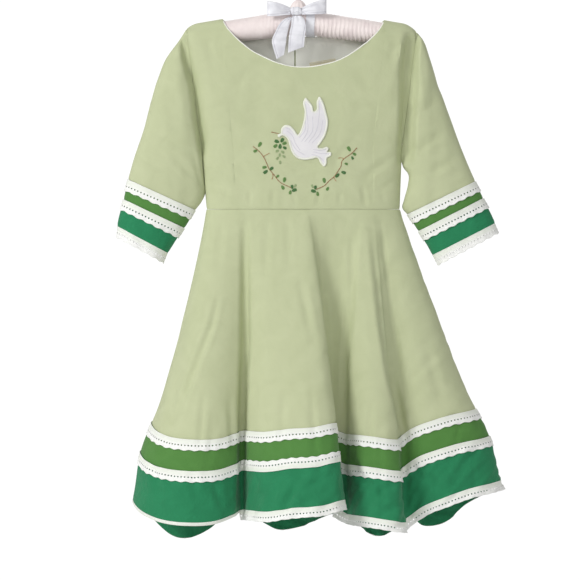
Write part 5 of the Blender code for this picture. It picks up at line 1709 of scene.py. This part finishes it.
DOVE_BREAST = (0.0, -240.0)
DOVE_OUTLINE = (
    (-28.5, 5.0), (-24.5, 8.5), (-24.0, 14.0), (-19.5, 19.0), (-13.0, 18.5), (-8.0, 14.0), (-2.5, 7.0),
    (1.5, 14.0), (4.5, 24.0), (6.0, 36.0), (4.5, 50.0), (7.0, 54.0), (11.0, 50.0), (15.5, 44.0),
    (18.0, 36.5), (20.0, 37.5), (21.5, 50.0), (24.5, 55.5), (28.5, 50.0), (31.5, 42.0),
    (33.5, 34.0), (35.5, 26.0),
    (34.5, 14.0), (31.5, 5.0), (26.0, -4.0), (22.5, -9.0), (28.5, -10.0), (34.5, -8.5), (36.5, -11.0),
    (34.5, -14.5), (39.5, -15.5), (39.5, -19.5), (34.5, -22.5), (33.5, -30.5), (31.0, -33.5), (27.0, -30.5),
    (22.0, -22.5), (14.0, -24.0), (6.0, -25.0), (-3.0, -23.0), (-9.0, -17.5), (-12.5, -9.5), (-14.5, -2.0),
    (-18.0, 4.0), (-22.0, 6.0),
)
FEATHER_LINES = (
    ((2, -2), (9, 10), (9, 32), (7, 46)), ((6, -2), (15, 10), (16, 30)),
    ((11, -3), (20, 10), (24, 30), (25, 47)),
    ((15, -4), (25, 8), (29, 26)), ((-1, 3), (6, 12), (7, 24)), ((17, -12), (26, -13), (35, -11)),
    ((17, -15), (26, -17), (38, -17)), ((15, -18), (24, -21), (31, -28)),
    ((-17, 12), (-10, 6), (-6, -4), (0, -13)),
    ((-12, 0), (-5, -12), (6, -19)), ((-18, 15), (-15, 15), (-13, 13)),
)
VINES = (
    ((-59.7, -247.7), (-52.1, -254.0), (-45.7, -262.3), (-41.9, -270.5), (-39.4, -276.4), (-34.9, -281.7),
     (-23.2, -295.0), (-17.0, -297.8), (-10.2, -301.0)),
    ((72.4, -249.6), (66.0, -256.5), (57.8, -262.3), (53.3, -266.7), (52.1, -273.1), (49.5, -277.5),
     (42.7, -287.0), (37.3, -291.5), (31.1, -297.8), (20.3, -302.6)),
    ((-36.5, -229.6), (-32.0, -230.6), (-27.5, -231.6)),
)
TWIGS = (
    ((-46.6, -260.8), (-43.8, -259.1), (-38.7, -256.5)), ((-34.9, -282.6), (-34.4, -286.0), (-35.9, -290.0)),
    ((56.0, -263.8), (53.0, -262.4), (48.6, -262.8)), ((43.0, -286.6), (44.0, -289.4), (46.2, -292.4)),
)


class Leaf(NamedTuple):
    """A stitched leaf: its place, its turn in degrees and its half length and half width."""

    x: float
    z: float
    turn: float
    length: float
    width: float


MID_LEAVES = rows_of(
    Leaf,
    (-51.2, -245.6, 60, 3.4, 2.3), (-56.6, -253.6, 200, 2.6, 1.9), (-45, -274.4, 190, 2.8, 2),
    (-19.8, -290.6, 80, 3.2, 2.2), (-22, -300, -60, 2.8, 2), (-28.6, -286, 40, 2.2, 1.6),
    (62.4, -251.2, 120, 3.4, 2.3), (69, -257.6, -30, 2.4, 1.8), (30.8, -291.4, 100, 3.2, 2.2),
    (35.2, -301.6, -120, 2.6, 1.9), (58.6, -270, -20, 2.2, 1.6), (-12.4, -306.2, -100, 2.6, 1.9),
    (22.4, -308, -80, 2.6, 1.9), (-31, -247.2, 215, 2.8, 2.2), (-20, -244, 20, 2.8, 2.2),
)
DARK_LEAVES = rows_of(
    Leaf,
    (-43.6, -280.2, 215, 3.2, 2.2), (-36.6, -276.4, 40, 3, 2.1), (-7.4, -303.6, 20, 3.2, 2.3),
    (-10, -299.6, 100, 2.6, 1.9), (47.6, -284.6, 220, 3.2, 2.2), (55.2, -281, -20, 3, 2.1),
    (17.4, -304.8, 165, 3.2, 2.3), (19.6, -300.4, 85, 2.6, 1.9), (-29.2, -241.6, 160, 3, 2.4),
    (-22.8, -240.2, 60, 3, 2.4), (-25.4, -247.6, -95, 3, 2.3), (-19.6, -249.6, -30, 2.5, 1.9),
    (66.6, -262.4, -60, 2.2, 1.6),
)
PALE_LEAVES = rows_of(
    Leaf,
    (-6.2, -298.2, 60, 2.2, 1.5), (15.8, -298.6, 120, 2.2, 1.5), (-28.8, -253.6, 200, 2.3, 1.7),
    (-22.2, -255, -30, 2.3, 1.7), (-25.8, -258.6, -90, 2.2, 1.6), (-20.6, -260.6, -40, 2.2, 1.5),
    (-28.6, -262.8, 230, 2.1, 1.5), (-25.2, -268, -90, 2.2, 1.5),
)


def smooth_line(points: Sequence[Sequence[float]], step: float, closed: bool = False) -> Grid:
    """Points at even steps along a smooth curve.

    Args:
        points: the points that the curve passes through.
        step: the distance between the new points.
        closed: whether the curve joins its start.

    Returns:
        The new points.
    """
    rows = np.asarray(points, float)
    ring = np.vstack([rows, rows[:1]]) if closed else rows
    gaps = np.linalg.norm(np.diff(ring, axis=0), axis=1)
    fine = curve_at(rows, gaps, np.linspace(0, len(gaps), len(gaps) * 12 + 1), closed)
    length = np.concatenate([[0.0], np.cumsum(np.linalg.norm(np.diff(fine, axis=0), axis=1))])
    count = max(3, round(length[-1] / step))
    places = np.linspace(0, length[-1], count + 1)[:count if closed else None]
    return np.stack([np.interp(places, length, fine[:, k]) for k in range(fine.shape[1])], 1)


@dataclass
class Embroidery:
    """White dove applique with a satin-stitched edge, its sprig, and two leafy vines."""

    dress: Dress
    dove_cloth: bpy.types.Material
    dove_thread: bpy.types.Material
    feather_thread: bpy.types.Material
    stem_thread: bpy.types.Material
    twig_thread: bpy.types.Material
    leaf_threads: tuple[bpy.types.Material, bpy.types.Material, bpy.types.Material]
    lift: float = 0.35
    wall: float = 0.9
    cell: float = 1.7
    edge_width: float = 3.4
    stitch_step: float = 0.85
    flat_area: float = field(init=False)

    def build(self) -> None:
        """Make the applique and the stitches."""
        edging, feathers = self.edge_stitches(), self.feathers()
        dove = self.dove()
        area = self.flat_area * MM * MM
        width, height = (float(c) * MM for c in np.ptp(self.outline(self.stitch_step), axis=0))
        declare(dove, ["dove_applique"], (width, height, area),
                [edging, feathers])
        self.vines()
        self.leaves()

    def outline(self, step: float) -> Grid:
        """The dove's outline at even steps."""
        points = np.array(DOVE_OUTLINE, float) + np.array(DOVE_BREAST)
        return smooth_line(points, step, closed=True)

    def dove(self) -> bpy.types.Object:
        """The cloth of the dove, domed a little and laid on the chest."""
        edge = self.outline(1.6)
        low, high = edge.min(0), edge.max(0)
        xs, zs = np.meshgrid(np.arange(low[0], high[0], self.cell), np.arange(low[1], high[1], self.cell))
        shift = (np.arange(xs.size) // xs.shape[1] % 2) * self.cell / 2
        inner = np.stack([xs.ravel() + shift, zs.ravel()], 1)
        away = self.inset(inner, edge)
        inner = inner[away > 0.9]
        count = len(edge)
        verts = [Vector(p) for p in np.vstack([edge, inner])]
        borders = [(k, (k + 1) % count) for k in range(count)]
        flat, _, faces, *_ = delaunay_2d_cdt(verts, borders, [list(range(count))], 1, 0.001)
        points = np.array([tuple(p) for p in flat])
        depth = np.maximum(0.0, self.inset(points, edge))
        rise = self.wall * (0.55 + 0.45 * np.clip(depth / 2.5, 0, 1) ** 0.5)
        base = np.array([tuple(self.dress.on_chest(float(x), float(z))[0]) for x, z in points])
        outer = base - np.stack([np.zeros(len(rise)), self.lift + rise, np.zeros(len(rise))], 1)
        inner_layer = base - (0.0, self.lift, 0.0)
        faces = [tuple(face) for face in faces]
        a, b, c = (points[faces[0][k]] for k in (0, 1, 2))
        if (b[0] - a[0]) * (c[1] - a[1]) - (b[1] - a[1]) * (c[0] - a[0]) < 0:
            faces = [face[::-1] for face in faces]
        corners = [tuple(points[i] * MM) for face in faces for i in face]
        one, two = (np.array([points[f[k]] - points[f[0]] for f in faces]) for k in (1, 2))
        self.flat_area = float(np.abs(one[:, 0] * two[:, 1] - one[:, 1] * two[:, 0]).sum() / 2)
        parts = MeshParts()
        parts.add_shell(outer, inner_layer, faces, corners)
        return parts.build("dove_cloth", self.dove_cloth)

    def inset(self, points: Grid, edge: Grid) -> Grid:
        """Distance of points to the outline, negative outside it."""
        ahead = np.roll(edge, -1, 0)
        best, crossings = np.full(len(points), 1e9), np.zeros(len(points), int)
        for a, b in zip(edge, ahead):
            along = b - a
            t = np.clip(((points - a) @ along) / max(1e-9, along @ along), 0, 1)
            best = np.minimum(best, np.linalg.norm(points - a - t[:, None] * along, axis=1))
            if a[1] != b[1]:
                spans = (a[1] > points[:, 1]) != (b[1] > points[:, 1])
                cross = a[0] + (points[:, 1] - a[1]) / (b[1] - a[1]) * along[0]
                crossings += (spans & (points[:, 0] < cross)).astype(int)
        return np.where(crossings % 2 == 1, best, -best)

    def edge_stitches(self) -> bpy.types.Object:
        """Satin stitches side by side across the dove's edge."""
        edge = self.outline(self.stitch_step)
        ahead = unit(np.roll(edge, -1, 0) - np.roll(edge, 1, 0))
        inwards = np.stack([ahead[:, 1], -ahead[:, 0]], 1)
        if self.inset(edge + inwards * 0.8, edge).mean() < 0:
            inwards = -inwards
        sewn = Stitching("dove_edge_stitches", "pad", self.edge_width / 2, 0.55, self.dove_thread, 0.62)
        for place, inward in zip(edge, inwards):
            middle = place + inward * self.edge_width * 0.38
            high = self.lift + self.wall * 0.75
            spot, out = self.dress.on_chest(float(middle[0]), float(middle[1]), high)
            along = Vector((inward[0], 0.0, inward[1]))
            sewn.add(spot, out, along - out * along.dot(out))
        return sewn.build()

    def feathers(self) -> bpy.types.Object:
        """Faint lines of grey thread that draw the wing and tail feathers."""
        parts = MeshParts()
        for line in FEATHER_LINES:
            route = smooth_line(np.array(line, float) + np.array(DOVE_BREAST), 1.2)
            high = self.lift + self.wall + 0.02
            places = [self.dress.on_chest(float(x), float(z), high) for x, z in route]
            add_tube(parts, np.array([tuple(p) for p, _ in places]), 0.34, 5, 0)
        made = parts.build("feather_stitches", self.feather_thread)
        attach(made, GARMENT)
        return made

    def vines(self) -> None:
        """Stems and twigs in brown thread."""
        for name, lines, radius, thread in (("vine_stems", VINES, 0.5, self.stem_thread),
                                            ("vine_twigs", TWIGS, 0.5, self.twig_thread)):
            parts = MeshParts()
            for line in lines:
                route = smooth_line(line, 1.2)
                places = [self.dress.on_chest(float(x), float(z), 0.25) for x, z in route]
                facing = np.array([tuple(out) for _, out in places])
                thick = radius * (0.85 + 0.2 * np.sin(np.arange(len(route)) * 1.7))
                add_tube(parts, np.array([tuple(p) for p, _ in places]), thick, 6, 0, lay=facing)
            made = parts.build(name, thread)
            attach(made, GARMENT)
            LOG.info("%s: %d lines", name, len(lines))

    def leaves(self) -> None:
        """Leaves, each a fan of satin stitches from its middle vein."""
        names = ("green_leaves", "dark_leaves", "pale_leaves")
        for name, leaves, thread in zip(names, (MID_LEAVES, DARK_LEAVES, PALE_LEAVES), self.leaf_threads):
            sewn = Stitching(name, "pad", 1.0, 0.5, thread, height=0.5)
            for leaf in leaves:
                self.leaf(sewn, leaf)
            sewn.build()

    def leaf(self, sewn: Stitching, leaf: Leaf) -> None:
        """Add one leaf's stitches."""
        turn = math.radians(leaf.turn)
        vein = np.array([math.cos(turn), math.sin(turn)])
        cross = np.array([-vein[1], vein[0]])
        count = max(5, round(2 * leaf.length / 0.62))
        for k in range(count):
            share = -1 + 2 * (k + 0.5) / count
            half = leaf.width * math.sqrt(max(0.05, 1 - share**2))
            for side in (-1, 1):
                slant = unit(cross * side + vein * 0.45)
                middle = np.array([leaf.x, leaf.z]) + vein * leaf.length * share + slant * half / 2
                spot, out = self.dress.on_chest(float(middle[0]), float(middle[1]), 0.2)
                along = Vector((slant[0], 0.0, slant[1]))
                sewn.add(spot, out, along - out * along.dot(out), 0.35 + half * 0.42)


@dataclass
class BackZip:
    """Concealed zip at the centre back: tape and coil inside, slider and pull tab outside."""

    dress: Dress
    tape: bpy.types.Material
    coil: bpy.types.Material
    enamel: bpy.types.Material
    width: float = 21.4
    wall: float = 0.7
    inset: float = 1.6
    slack: float = 0.6
    pitch: float = 1.5
    skirt_rows: int = 34

    def build(self) -> None:
        """Make the tape and coil, and give the slider and pull tab their finish."""
        shape = self.dress.shape
        centre = shape.shoulder_columns + shape.half_neck_columns
        middle = (len(FRONT_FOLDS) + 2 + BACK_SEAM_FOLD) * self.dress.columns_per_fold
        offsets = np.linspace(-self.width / 2, self.width / 2, 9)
        rows, facing = [], []
        for surface, start, picks, extra in (
                (self.dress.back, centre, range(self.dress.back.points.shape[0] - 1, -1, -1), 0.0),
                (self.dress.skirt, middle, range(2, self.skirt_rows, 2), self.slack)):
            normals = surface.normals()
            for row in picks:
                line, out = surface.points[row], normals[row]
                if extra:
                    line, out = line[::-1], out[::-1]
                begin = len(line) - 1 - start if extra else start
                run = np.linalg.norm(np.diff(line, axis=0), axis=1)
                run = np.concatenate([[0.0], np.cumsum(run)])
                run -= run[begin]
                direction = unit(np.stack([np.interp(offsets, run, out[:, k]) for k in range(3)], 1))
                points = np.stack([np.interp(offsets, run, line[:, k]) for k in range(3)], 1)
                rows.append(points - direction * (self.inset + extra))
                facing.append(direction)
        surface = Surface(np.array(rows))
        normals = np.array(facing)
        parts = ClothPiece(surface, normals, self.wall, roll=0.0).parts()
        made = parts.build("zip_tape_cloth", self.tape)
        teeth = Stitching("zip_coil", "pad", 2.1, 0.5, self.coil, height=0.5)
        line = surface.points[:, 4] - normals[:, 4] * (self.wall + 0.3)
        route = smooth_line(line, self.pitch)
        for place in route[1:-1]:
            teeth.add(place, (0.0, -1.0, 0.0), (1.0, 0.0, 0.35))
        coil = teeth.build()
        declare(made, ["zip_tape"], sheet_size(surface),
                [coil])
        for node in ("zip_slider", "zip_pull"):
            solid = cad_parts[node]
            solid.data.materials.clear()
            solid.data.materials.append(self.enamel)


# Height and radius of the collar's rings, from the bar up.
COLLAR = (
    (-84.0, 10.0), (-79.0, 12.6), (-75.5, 12.8), (-73.0, 11.6), (-70.5, 10.2), (-68.0, 8.9), (-66.0, 8.0),
    (-64.2, 6.8), (-62.6, 5.2), (-61.4, 3.6), (-60.6, 2.2),
)


@dataclass
class Hanger:
    """Padded satin bar with ruched cloth, the ruched collar at the hook's foot, and the steel hook."""

    shape: HangerShape
    satin: bpy.types.Material
    steel: bpy.types.Material
    sides: int = 48
    step: float = 0.85
    pleat: float = 5.0
    hook_radius: float = 20.0
    wire: float = 1.6
    stem_top: float = -49.5
    bend: tuple[float, float] = (1.5, -43.5)

    def build(self) -> None:
        parts = MeshParts()
        self.bar(parts)
        self.collar(parts)
        bar = parts.build("hanger_bar_satin", self.satin, sharp=70.0)
        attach(bar, GARMENT)
        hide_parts("hanger_bar")
        LOG.info("%s: %d faces", bar.name, len(bar.data.polygons))
        self.hook()

    def closed_rings(self, parts: MeshParts, rings: Grid, ends: tuple[Grid, Grid]) -> None:
        """Add a closed body made of rings and two end points.

        Args:
            parts: the mesh that takes it.
            rings: rows of points round the body.
            ends: the points that close it.
        """
        rows, sides = rings.shape[:2]
        faces, corners = grid_faces(rows, sides, True)
        around = np.linalg.norm(np.diff(np.concatenate([rings, rings[:, :1]], 1), axis=1), axis=2)
        around = np.concatenate([np.zeros((rows, 1)), np.cumsum(around, 1)], 1) * MM
        middle = rings.mean(1)
        steps = np.linalg.norm(np.diff(middle, axis=0), axis=1)
        along = np.concatenate([[0.0], np.cumsum(steps)]) * MM
        uv = np.stack([along[corners[..., 0]], around[corners[..., 0], corners[..., 1]]], -1)
        caps = [(k, (k + 1) % sides, rows * sides) for k in range(sides)]
        last = (rows - 1) * sides
        caps += [(last + (k + 1) % sides, last + k, rows * sides + 1) for k in range(sides)]
        points = np.vstack([rings.reshape(-1, 3), ends[0], ends[1]])
        faces = faces.tolist()
        a, b, c = (points[faces[0][k]] for k in (0, 1, 2))
        if np.dot(np.cross(b - a, c - a), a - middle[0]) < 0:
            faces, uv = [face[::-1] for face in faces], uv[:, ::-1]
        else:
            caps = [face[::-1] for face in caps]
        parts.add(points, faces + caps, uv.reshape(-1, 2).tolist() + [(0.0, 0.0)] * (3 * len(caps)))

    def bar(self, parts: MeshParts) -> None:
        """The padded bar, its pleats strongest on the lower half of its right arm."""
        reach = self.shape.half_length
        cap = self.shape.end_cap
        body = np.arange(-reach + cap, reach - cap, self.step)
        turn = np.linspace(0.06, 1, 14)
        ends = reach - cap + cap * np.cos(turn[:-1] * math.pi / 2)
        x = np.concatenate([-ends, body, ends[::-1]])
        past = np.maximum(0.0, (np.abs(x) - reach + cap) / cap)
        radius = self.shape.bar_radius(x) * np.sqrt(np.maximum(0.0, 1 - past**2))
        angle = np.arange(self.sides) * math.tau / self.sides
        across, around = x[:, None], angle[None, :]
        low = 0.5 - 0.5 * np.sin(around - 0.35)
        strength = np.where(across > 0, 0.25 + 0.95 * low, 0.12 + 0.25 * np.exp(-((across + 25) / 22) ** 2))
        strength = strength * np.clip((reach - np.abs(across)) / 12, 0, 1)
        phase = across / self.pleat + 0.16 * np.sin(around * 3 + across / 17) + 0.3 * np.sin(across / 23 + 1)
        ridge = 1 - 2 * np.abs(np.sin(math.pi * phase)) ** 0.8
        second = np.sin(math.tau * (across / 2.9 + 0.4 * np.sin(around * 2 + across / 9)))
        broad = np.sin(around * 2 + across / 11) * np.sin(across / 19 + 0.6)
        relief = strength * (0.62 * ridge + 0.16 * second) - 0.2 + 0.25 * broad
        body_radius = radius[:, None] + relief * np.minimum(1.0, radius / 8)[:, None]
        axis = self.shape.bar_axis(x)[:, None]
        rings = np.stack([np.broadcast_to(across, body_radius.shape), body_radius * np.cos(around),
                          axis + body_radius * np.sin(around)], 2)
        tips = [np.array([[side * reach, 0.0, float(self.shape.bar_axis(np.array(side * reach)))]])
                for side in (-1, 1)]
        self.closed_rings(parts, rings, (tips[0], tips[1]))

    def collar(self, parts: MeshParts) -> None:
        """Gathered satin collar that covers the foot of the hook."""
        places = np.linspace(0, len(COLLAR) - 1, 40)
        heights, radii = (np.interp(places, np.arange(len(COLLAR)), row) for row in np.array(COLLAR).T)
        angle = np.arange(self.sides) * math.tau / self.sides
        above = np.clip((heights + 80) / 8, 0, 1)[:, None]
        gather = 0.07 * np.sin(angle * 11 + 0.6 * np.sin(angle * 3)) * above
        ring = radii[:, None] * (1 + gather)
        rings = np.stack([-2.0 + ring * np.cos(angle), ring * np.sin(angle) * 0.62,
                          np.broadcast_to(heights[:, None], ring.shape)], 2)
        self.closed_rings(parts, rings, (np.array([[-2.0, 0.0, -84.4]]), np.array([[-1.0, 0.0, -60.3]])))

    def hook(self) -> None:
        """The hook, one length of round wire with a domed end."""
        radius = self.hook_radius + self.wire
        route = [(0.0, 0.0, self.shape.top + 0.3), (0.0, 0.0, self.stem_top),
                 (self.bend[0], 0.0, self.bend[1])]
        for degrees in range(-60, 196, 15):
            turn = math.radians(degrees)
            route.append((radius * math.cos(turn), 0.0, radius * math.sin(turn) - self.hook_radius))
        line = smooth_line(route, 1.6)
        thick = np.full(len(line), self.wire)
        thick[-3:] = self.wire * np.array([0.97, 0.82, 0.45])
        parts = MeshParts()
        add_tube(parts, line, thick, 14, 0, lay=np.tile((0.0, 1.0, 0.0), (len(line), 1)))
        made = parts.build("hook_wire", self.steel)
        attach(made, GARMENT)
        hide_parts("hanger_hook")
        LOG.info("%s: %d faces", made.name, len(made.data.polygons))


@dataclass
class Bow:
    """Ribbon bow at the hook's foot, its ribbon left bare: two loops, two tails, a knot and a band."""

    hanger: HangerShape
    ribbon: bpy.types.Material
    wall: float = 0.6
    knot: tuple[float, float, float] = (-5.0, -16.9, -75.5)
    knot_size: tuple[float, float, float] = (14.0, 10.0, 11.0)
    loop_y: float = -19.4
    bulge: float = 5.0
    loop_start: float = 0.14

    def build(self) -> None:
        """Make and declare every piece of ribbon."""
        self.loop(Side.LEFT, -31.0, 3.0, (9.0, 19.0))
        self.loop(Side.RIGHT, 33.0, 6.0, (9.0, 18.0))
        self.tail(Side.LEFT,
                  ((-14.0, -83.0), (-20.5, -86.0), (-27.0, -93.0), (-31.0, -101.0), (-35.6, -111.8),
                   (-34.6, -121.0), (-29.6, -136.5)),
                  ((-6.5, -84.0), (-11.5, -88.0), (-13.8, -94.0), (-15.4, -101.0), (-17.0, -109.0),
                   (-18.4, -119.0), (-20.3, -131.0)),
                  (-17.8, -19.4, -20.6, -21.4, -21.6, -21.0, -19.0), ((-100.0, 1.4), (-113.0, -1.0)))
        self.tail(Side.RIGHT,
                  ((-9.5, -81.5), (-10.8, -88.0), (-11.6, -95.0), (-13.2, -102.0), (-14.2, -110.0),
                   (-14.8, -119.0), (-15.0, -128.5)),
                  ((1.5, -81.5), (5.4, -86.0), (7.2, -92.0), (7.4, -99.0), (6.6, -106.0), (5.8, -113.0),
                   (5.1, -121.0)),
                  (-20.2, -23.2, -24.8, -25.2, -25.0, -24.4, -23.4), ((-104.0, 1.5), (-92.0, -0.9)))
        self.wrap("ribbon_knot", "folded")
        self.wrap("ribbon_band", "stretched")

    def finish(self, name: str, node: str, surface: Surface, held: Hang, rests_on: str,
               edges: tuple[str, ...] = ()) -> None:
        normals = surface.normals()
        parts = ClothPiece(surface, normals, self.wall, edges, roll=0.0).parts()
        made = parts.build(name, self.ribbon)
        declare(made, [node], sheet_size(surface))

    def loop(self, side: Side, reach: float, rise: float, widths: tuple[float, float]) -> None:
        """One loop, out from beside the knot and back behind itself, gathered towards the knot.

        Args:
            side: which loop.
            reach: how far it goes.
            rise: how much higher its end is.
            widths: its width at the knot and at its end.
        """
        edge = self.knot[0] + math.copysign(self.knot_size[0] / 2 + 0.3, reach)
        start = (1 - math.cos(math.pi * self.loop_start)) / 2
        turn = math.pi * (self.loop_start + 2 * (1 - self.loop_start) * np.linspace(0, 1, 60))[:, None]
        out = (1 - np.cos(turn)) / 2 - start
        width = widths[0] + (widths[1] - widths[0]) * np.sin(math.pi / 2 * np.minimum(1.0, 1.1 * out))
        across = np.linspace(-1, 1, 15)[None, :]
        gather = (1 - np.clip(out, 0, 1)) ** 1.5
        pucker = gather * 0.9 * np.cos(across * math.pi * 2.5 + 0.4) + 0.35 * np.sin(across * 4 + out * 5)
        x = edge + reach * out + 0 * across
        layer = np.sign(np.sin(turn) + 1e-6)
        y = self.loop_y - self.bulge * np.sin(turn) * np.maximum(out, 0) ** 0.4 - pucker * layer
        z = self.knot[2] + rise * out + across * width / 2 + 0.8 * np.sin(out * 3) * across**2
        surface = Surface(np.stack([x, y, z], 2))
        normals = surface.normals()
        middle = surface.points.mean(axis=(0, 1))
        surface.flip = bool(np.sum(normals * (surface.points - middle)) < 0)
        self.finish(f"ribbon_loop_{side.value}_satin", f"ribbon_loop_{side.value}", surface, Hang.FOLDED,
                    "ribbon_knot_satin")

    def tail(self, side: Side, left: Sequence[Sequence[float]], right: Sequence[Sequence[float]],
             depths: Sequence[float], folds: Sequence[Sequence[float]]) -> None:
        """One tail, drawn between its two edges, with soft folds across it.

        Args:
            side: which tail.
            left: the left edge.
            right: the right edge.
            depths: its depth at each pair of edge points.
            folds: the height of each fold and how far it stands out.
        """
        steps = np.arange(len(left))
        fine = np.linspace(0, len(left) - 1, 56)
        gaps = np.ones(len(left) - 1)
        edges = [curve_at(np.array(line, float), gaps, fine, False) for line in (left, right)]
        depth = np.interp(fine, steps, depths)[:, None]
        across = np.linspace(0, 1, 15)[None, :]
        x = edges[0][:, :1] * (1 - across) + edges[1][:, :1] * across
        z = edges[0][:, 1:] * (1 - across) + edges[1][:, 1:] * across
        curl = 0.9 * (2 * across - 1) ** 2 - 0.3 * np.sin(across * 7 + fine[:, None])
        crease = sum(size * np.exp(-((z + 2.5 * (across - 0.5) - height) / 2.4) ** 2)
                     for height, size in folds)
        gather = np.exp(-fine[:, None] * 1.1) * 0.8 * np.cos(across * math.pi * 5)
        y = depth + curl * 0.6 - crease - gather
        surface = Surface(np.stack([x, y, z], 2))
        surface.flip = bool(surface.normals()[..., 1].mean() > 0)
        self.finish(f"ribbon_tail_{side.value}_satin", f"ribbon_tail_{side.value}", surface, Hang.HUNG,
                    "ribbon_knot_satin")

    def wrap(self, node: str, held: str) -> None:
        """The knot round the bow's middle, or the band round the bar.

        Args:
            node: ribbon_knot or ribbon_band.
            held: how the ribbon is held.
        """
        knot = node == "ribbon_knot"
        turn = np.arange(56) * math.tau / 56
        across = np.linspace(-1, 1, 19 if knot else 13)[:, None]
        if knot:
            half_x, half_y, half_z = (size / 2 for size in self.knot_size)
            draw = 1 - 0.3 * np.abs(across) ** 3.5
            pleats = (1 + 0.045 * np.sin(across * 7 + 1.3 * np.sin(turn * 2))
                      + 0.03 * np.sin(across * 13 + turn))
            shape = (np.abs(np.cos(turn)) ** 2.6 + np.abs(np.sin(turn)) ** 2.6) ** (-1 / 2.6)
            x = self.knot[0] + across * half_x + 0.5 * np.sin(turn * 2)
            y = self.knot[1] + half_y * np.cos(turn) * shape * draw * pleats
            z = self.knot[2] + half_z * np.sin(turn) * shape * draw * pleats
        else:
            x = 13.0 + across * 5.5 + 0.35 * np.sin(turn * 3)
            radius = self.hanger.bar_radius(x) + 1.25 + 0.15 * np.sin(turn * 5 + across * 2)
            y = radius * np.cos(turn)
            z = self.hanger.bar_axis(x) + radius * np.sin(turn)
        surface = Surface(np.stack(np.broadcast_arrays(x, y, z), 2), closed=True)
        middle = surface.points.mean(axis=1, keepdims=True)
        surface.flip = bool(np.sum(surface.normals() * (surface.points - middle)) < 0)
        self.finish(f"{node}_satin", node, surface, Hang(held), "hanger_bar_satin")


@dataclass
class Studio:
    """Pale floor, white surroundings, soft lights and the camera."""

    floor_z: float = -0.9
    floor_half: float = 1.6
    around: float = 0.49
    behind: float = 1.05
    view_width: float = 0.7366
    view_centre: tuple[float, float] = (-0.0127, -0.4305)
    distance: float = 12.0
    cloth_y: float = -0.045

    def build(self) -> None:
        """Set the stage."""
        scene = bpy.context.scene
        scene.view_settings.view_transform = "Standard"
        world = bpy.data.worlds.new("white surroundings")
        scene.world = world
        world.use_nodes = True
        shader = world.node_tree.nodes["Background"]
        shader.inputs["Color"].default_value = (1.0, 1.0, 1.0, 1.0)
        tree = world.node_tree
        facing = add_node(tree, "ShaderNodeSeparateXYZ",
                          {0: add_node(tree, "ShaderNodeNewGeometry").outputs["Incoming"]}).outputs["Y"]
        strength = add_node(tree, "ShaderNodeMapRange", {
            "Value": facing, "From Min": -0.8, "From Max": -0.95,
            "To Min": self.around, "To Max": self.behind}).outputs[0]
        tree.links.new(strength, shader.inputs["Strength"])
        self.floor()
        self.light("key", (-3.0, -2.7, 1.4), 1.4, 98.0)
        self.light("fill", (0.5, -4.4, 0.45), 1.4, 27.0)
        self.light("rim", (0.6, 2.8, 1.2), 1.8, 16.0)
        camera = bpy.data.cameras.new("camera")
        camera.lens = camera.sensor_width * (self.distance + self.cloth_y) / self.view_width
        camera.clip_end = 60.0
        holder = bpy.data.objects.new("camera", camera)
        holder.location = (self.view_centre[0], -self.distance, self.view_centre[1])
        holder.rotation_euler = (math.pi / 2, 0.0, 0.0)
        scene.collection.objects.link(holder)
        scene.camera = holder

    def floor(self) -> None:
        """Plain pale floor."""
        mesh = bpy.data.meshes.new("floor")
        corners = ((-1, -1), (1, -1), (1, 1), (-1, 1))
        mesh.from_pydata([(x * self.floor_half, y * self.floor_half, self.floor_z) for x, y in corners],
                         [], [(0, 1, 2, 3)])
        mesh.materials.append(Finish("matt white paint", "F2F2F2", 0.9).material)
        floor = bpy.data.objects.new("floor", mesh)
        bpy.context.scene.collection.objects.link(floor)

    def light(self, name: str, place: tuple[float, float, float], size: float, power: float) -> None:
        """Add one square soft light aimed at the dress."""
        lamp = bpy.data.lights.new(name, "AREA")
        lamp.size, lamp.energy = size, power
        holder = bpy.data.objects.new(name, lamp)
        holder.location = place
        aim = Vector((self.view_centre[0], 0.0, self.view_centre[1])) - Vector(place)
        holder.rotation_euler = aim.to_track_quat("-Z", "Y").to_euler()
        bpy.context.scene.collection.objects.link(holder)


def main() -> None:
    """Build every piece in order."""
    logging.basicConfig(level=logging.INFO, format="%(name)s: %(message)s")
    sage, grass, emerald = SAGE.material(), GRASS.material(), EMERALD.material()
    lace = LaceFinish(EYELET.material(), EDGE_THREAD.material(), RIM_THREAD.material())
    lining, label, ribbon = LINING.material(), LABEL.material(), RIBBON.material()
    Studio().build()
    dress = Dress()
    LOG.info("surfaces of the dress are ready")
    Hanger(dress.shape.hanger, BAR_SATIN.material(), HOOK_STEEL.material()).build()
    Bow(dress.shape.hanger, ribbon).build()
    Bodice(dress, sage, lining, label, lace.edge).build()
    Sleeves(dress, sage, grass, emerald, lace).build()
    Skirt(dress, sage, grass, emerald, lace).build()
    Embroidery(dress, DOVE_CLOTH.material(), DOVE_THREAD.material(), FEATHER_THREAD.material(),
               STEM_THREAD.material(), TWIG_THREAD.material(),
               (LEAF_THREAD.material(), DARK_LEAF_THREAD.material(), PALE_LEAF_THREAD.material())).build()
    BackZip(dress, TAPE.material(), COIL_NYLON.material(), ZIP_ENAMEL.material()).build()


if __name__ == "__main__":
    main()
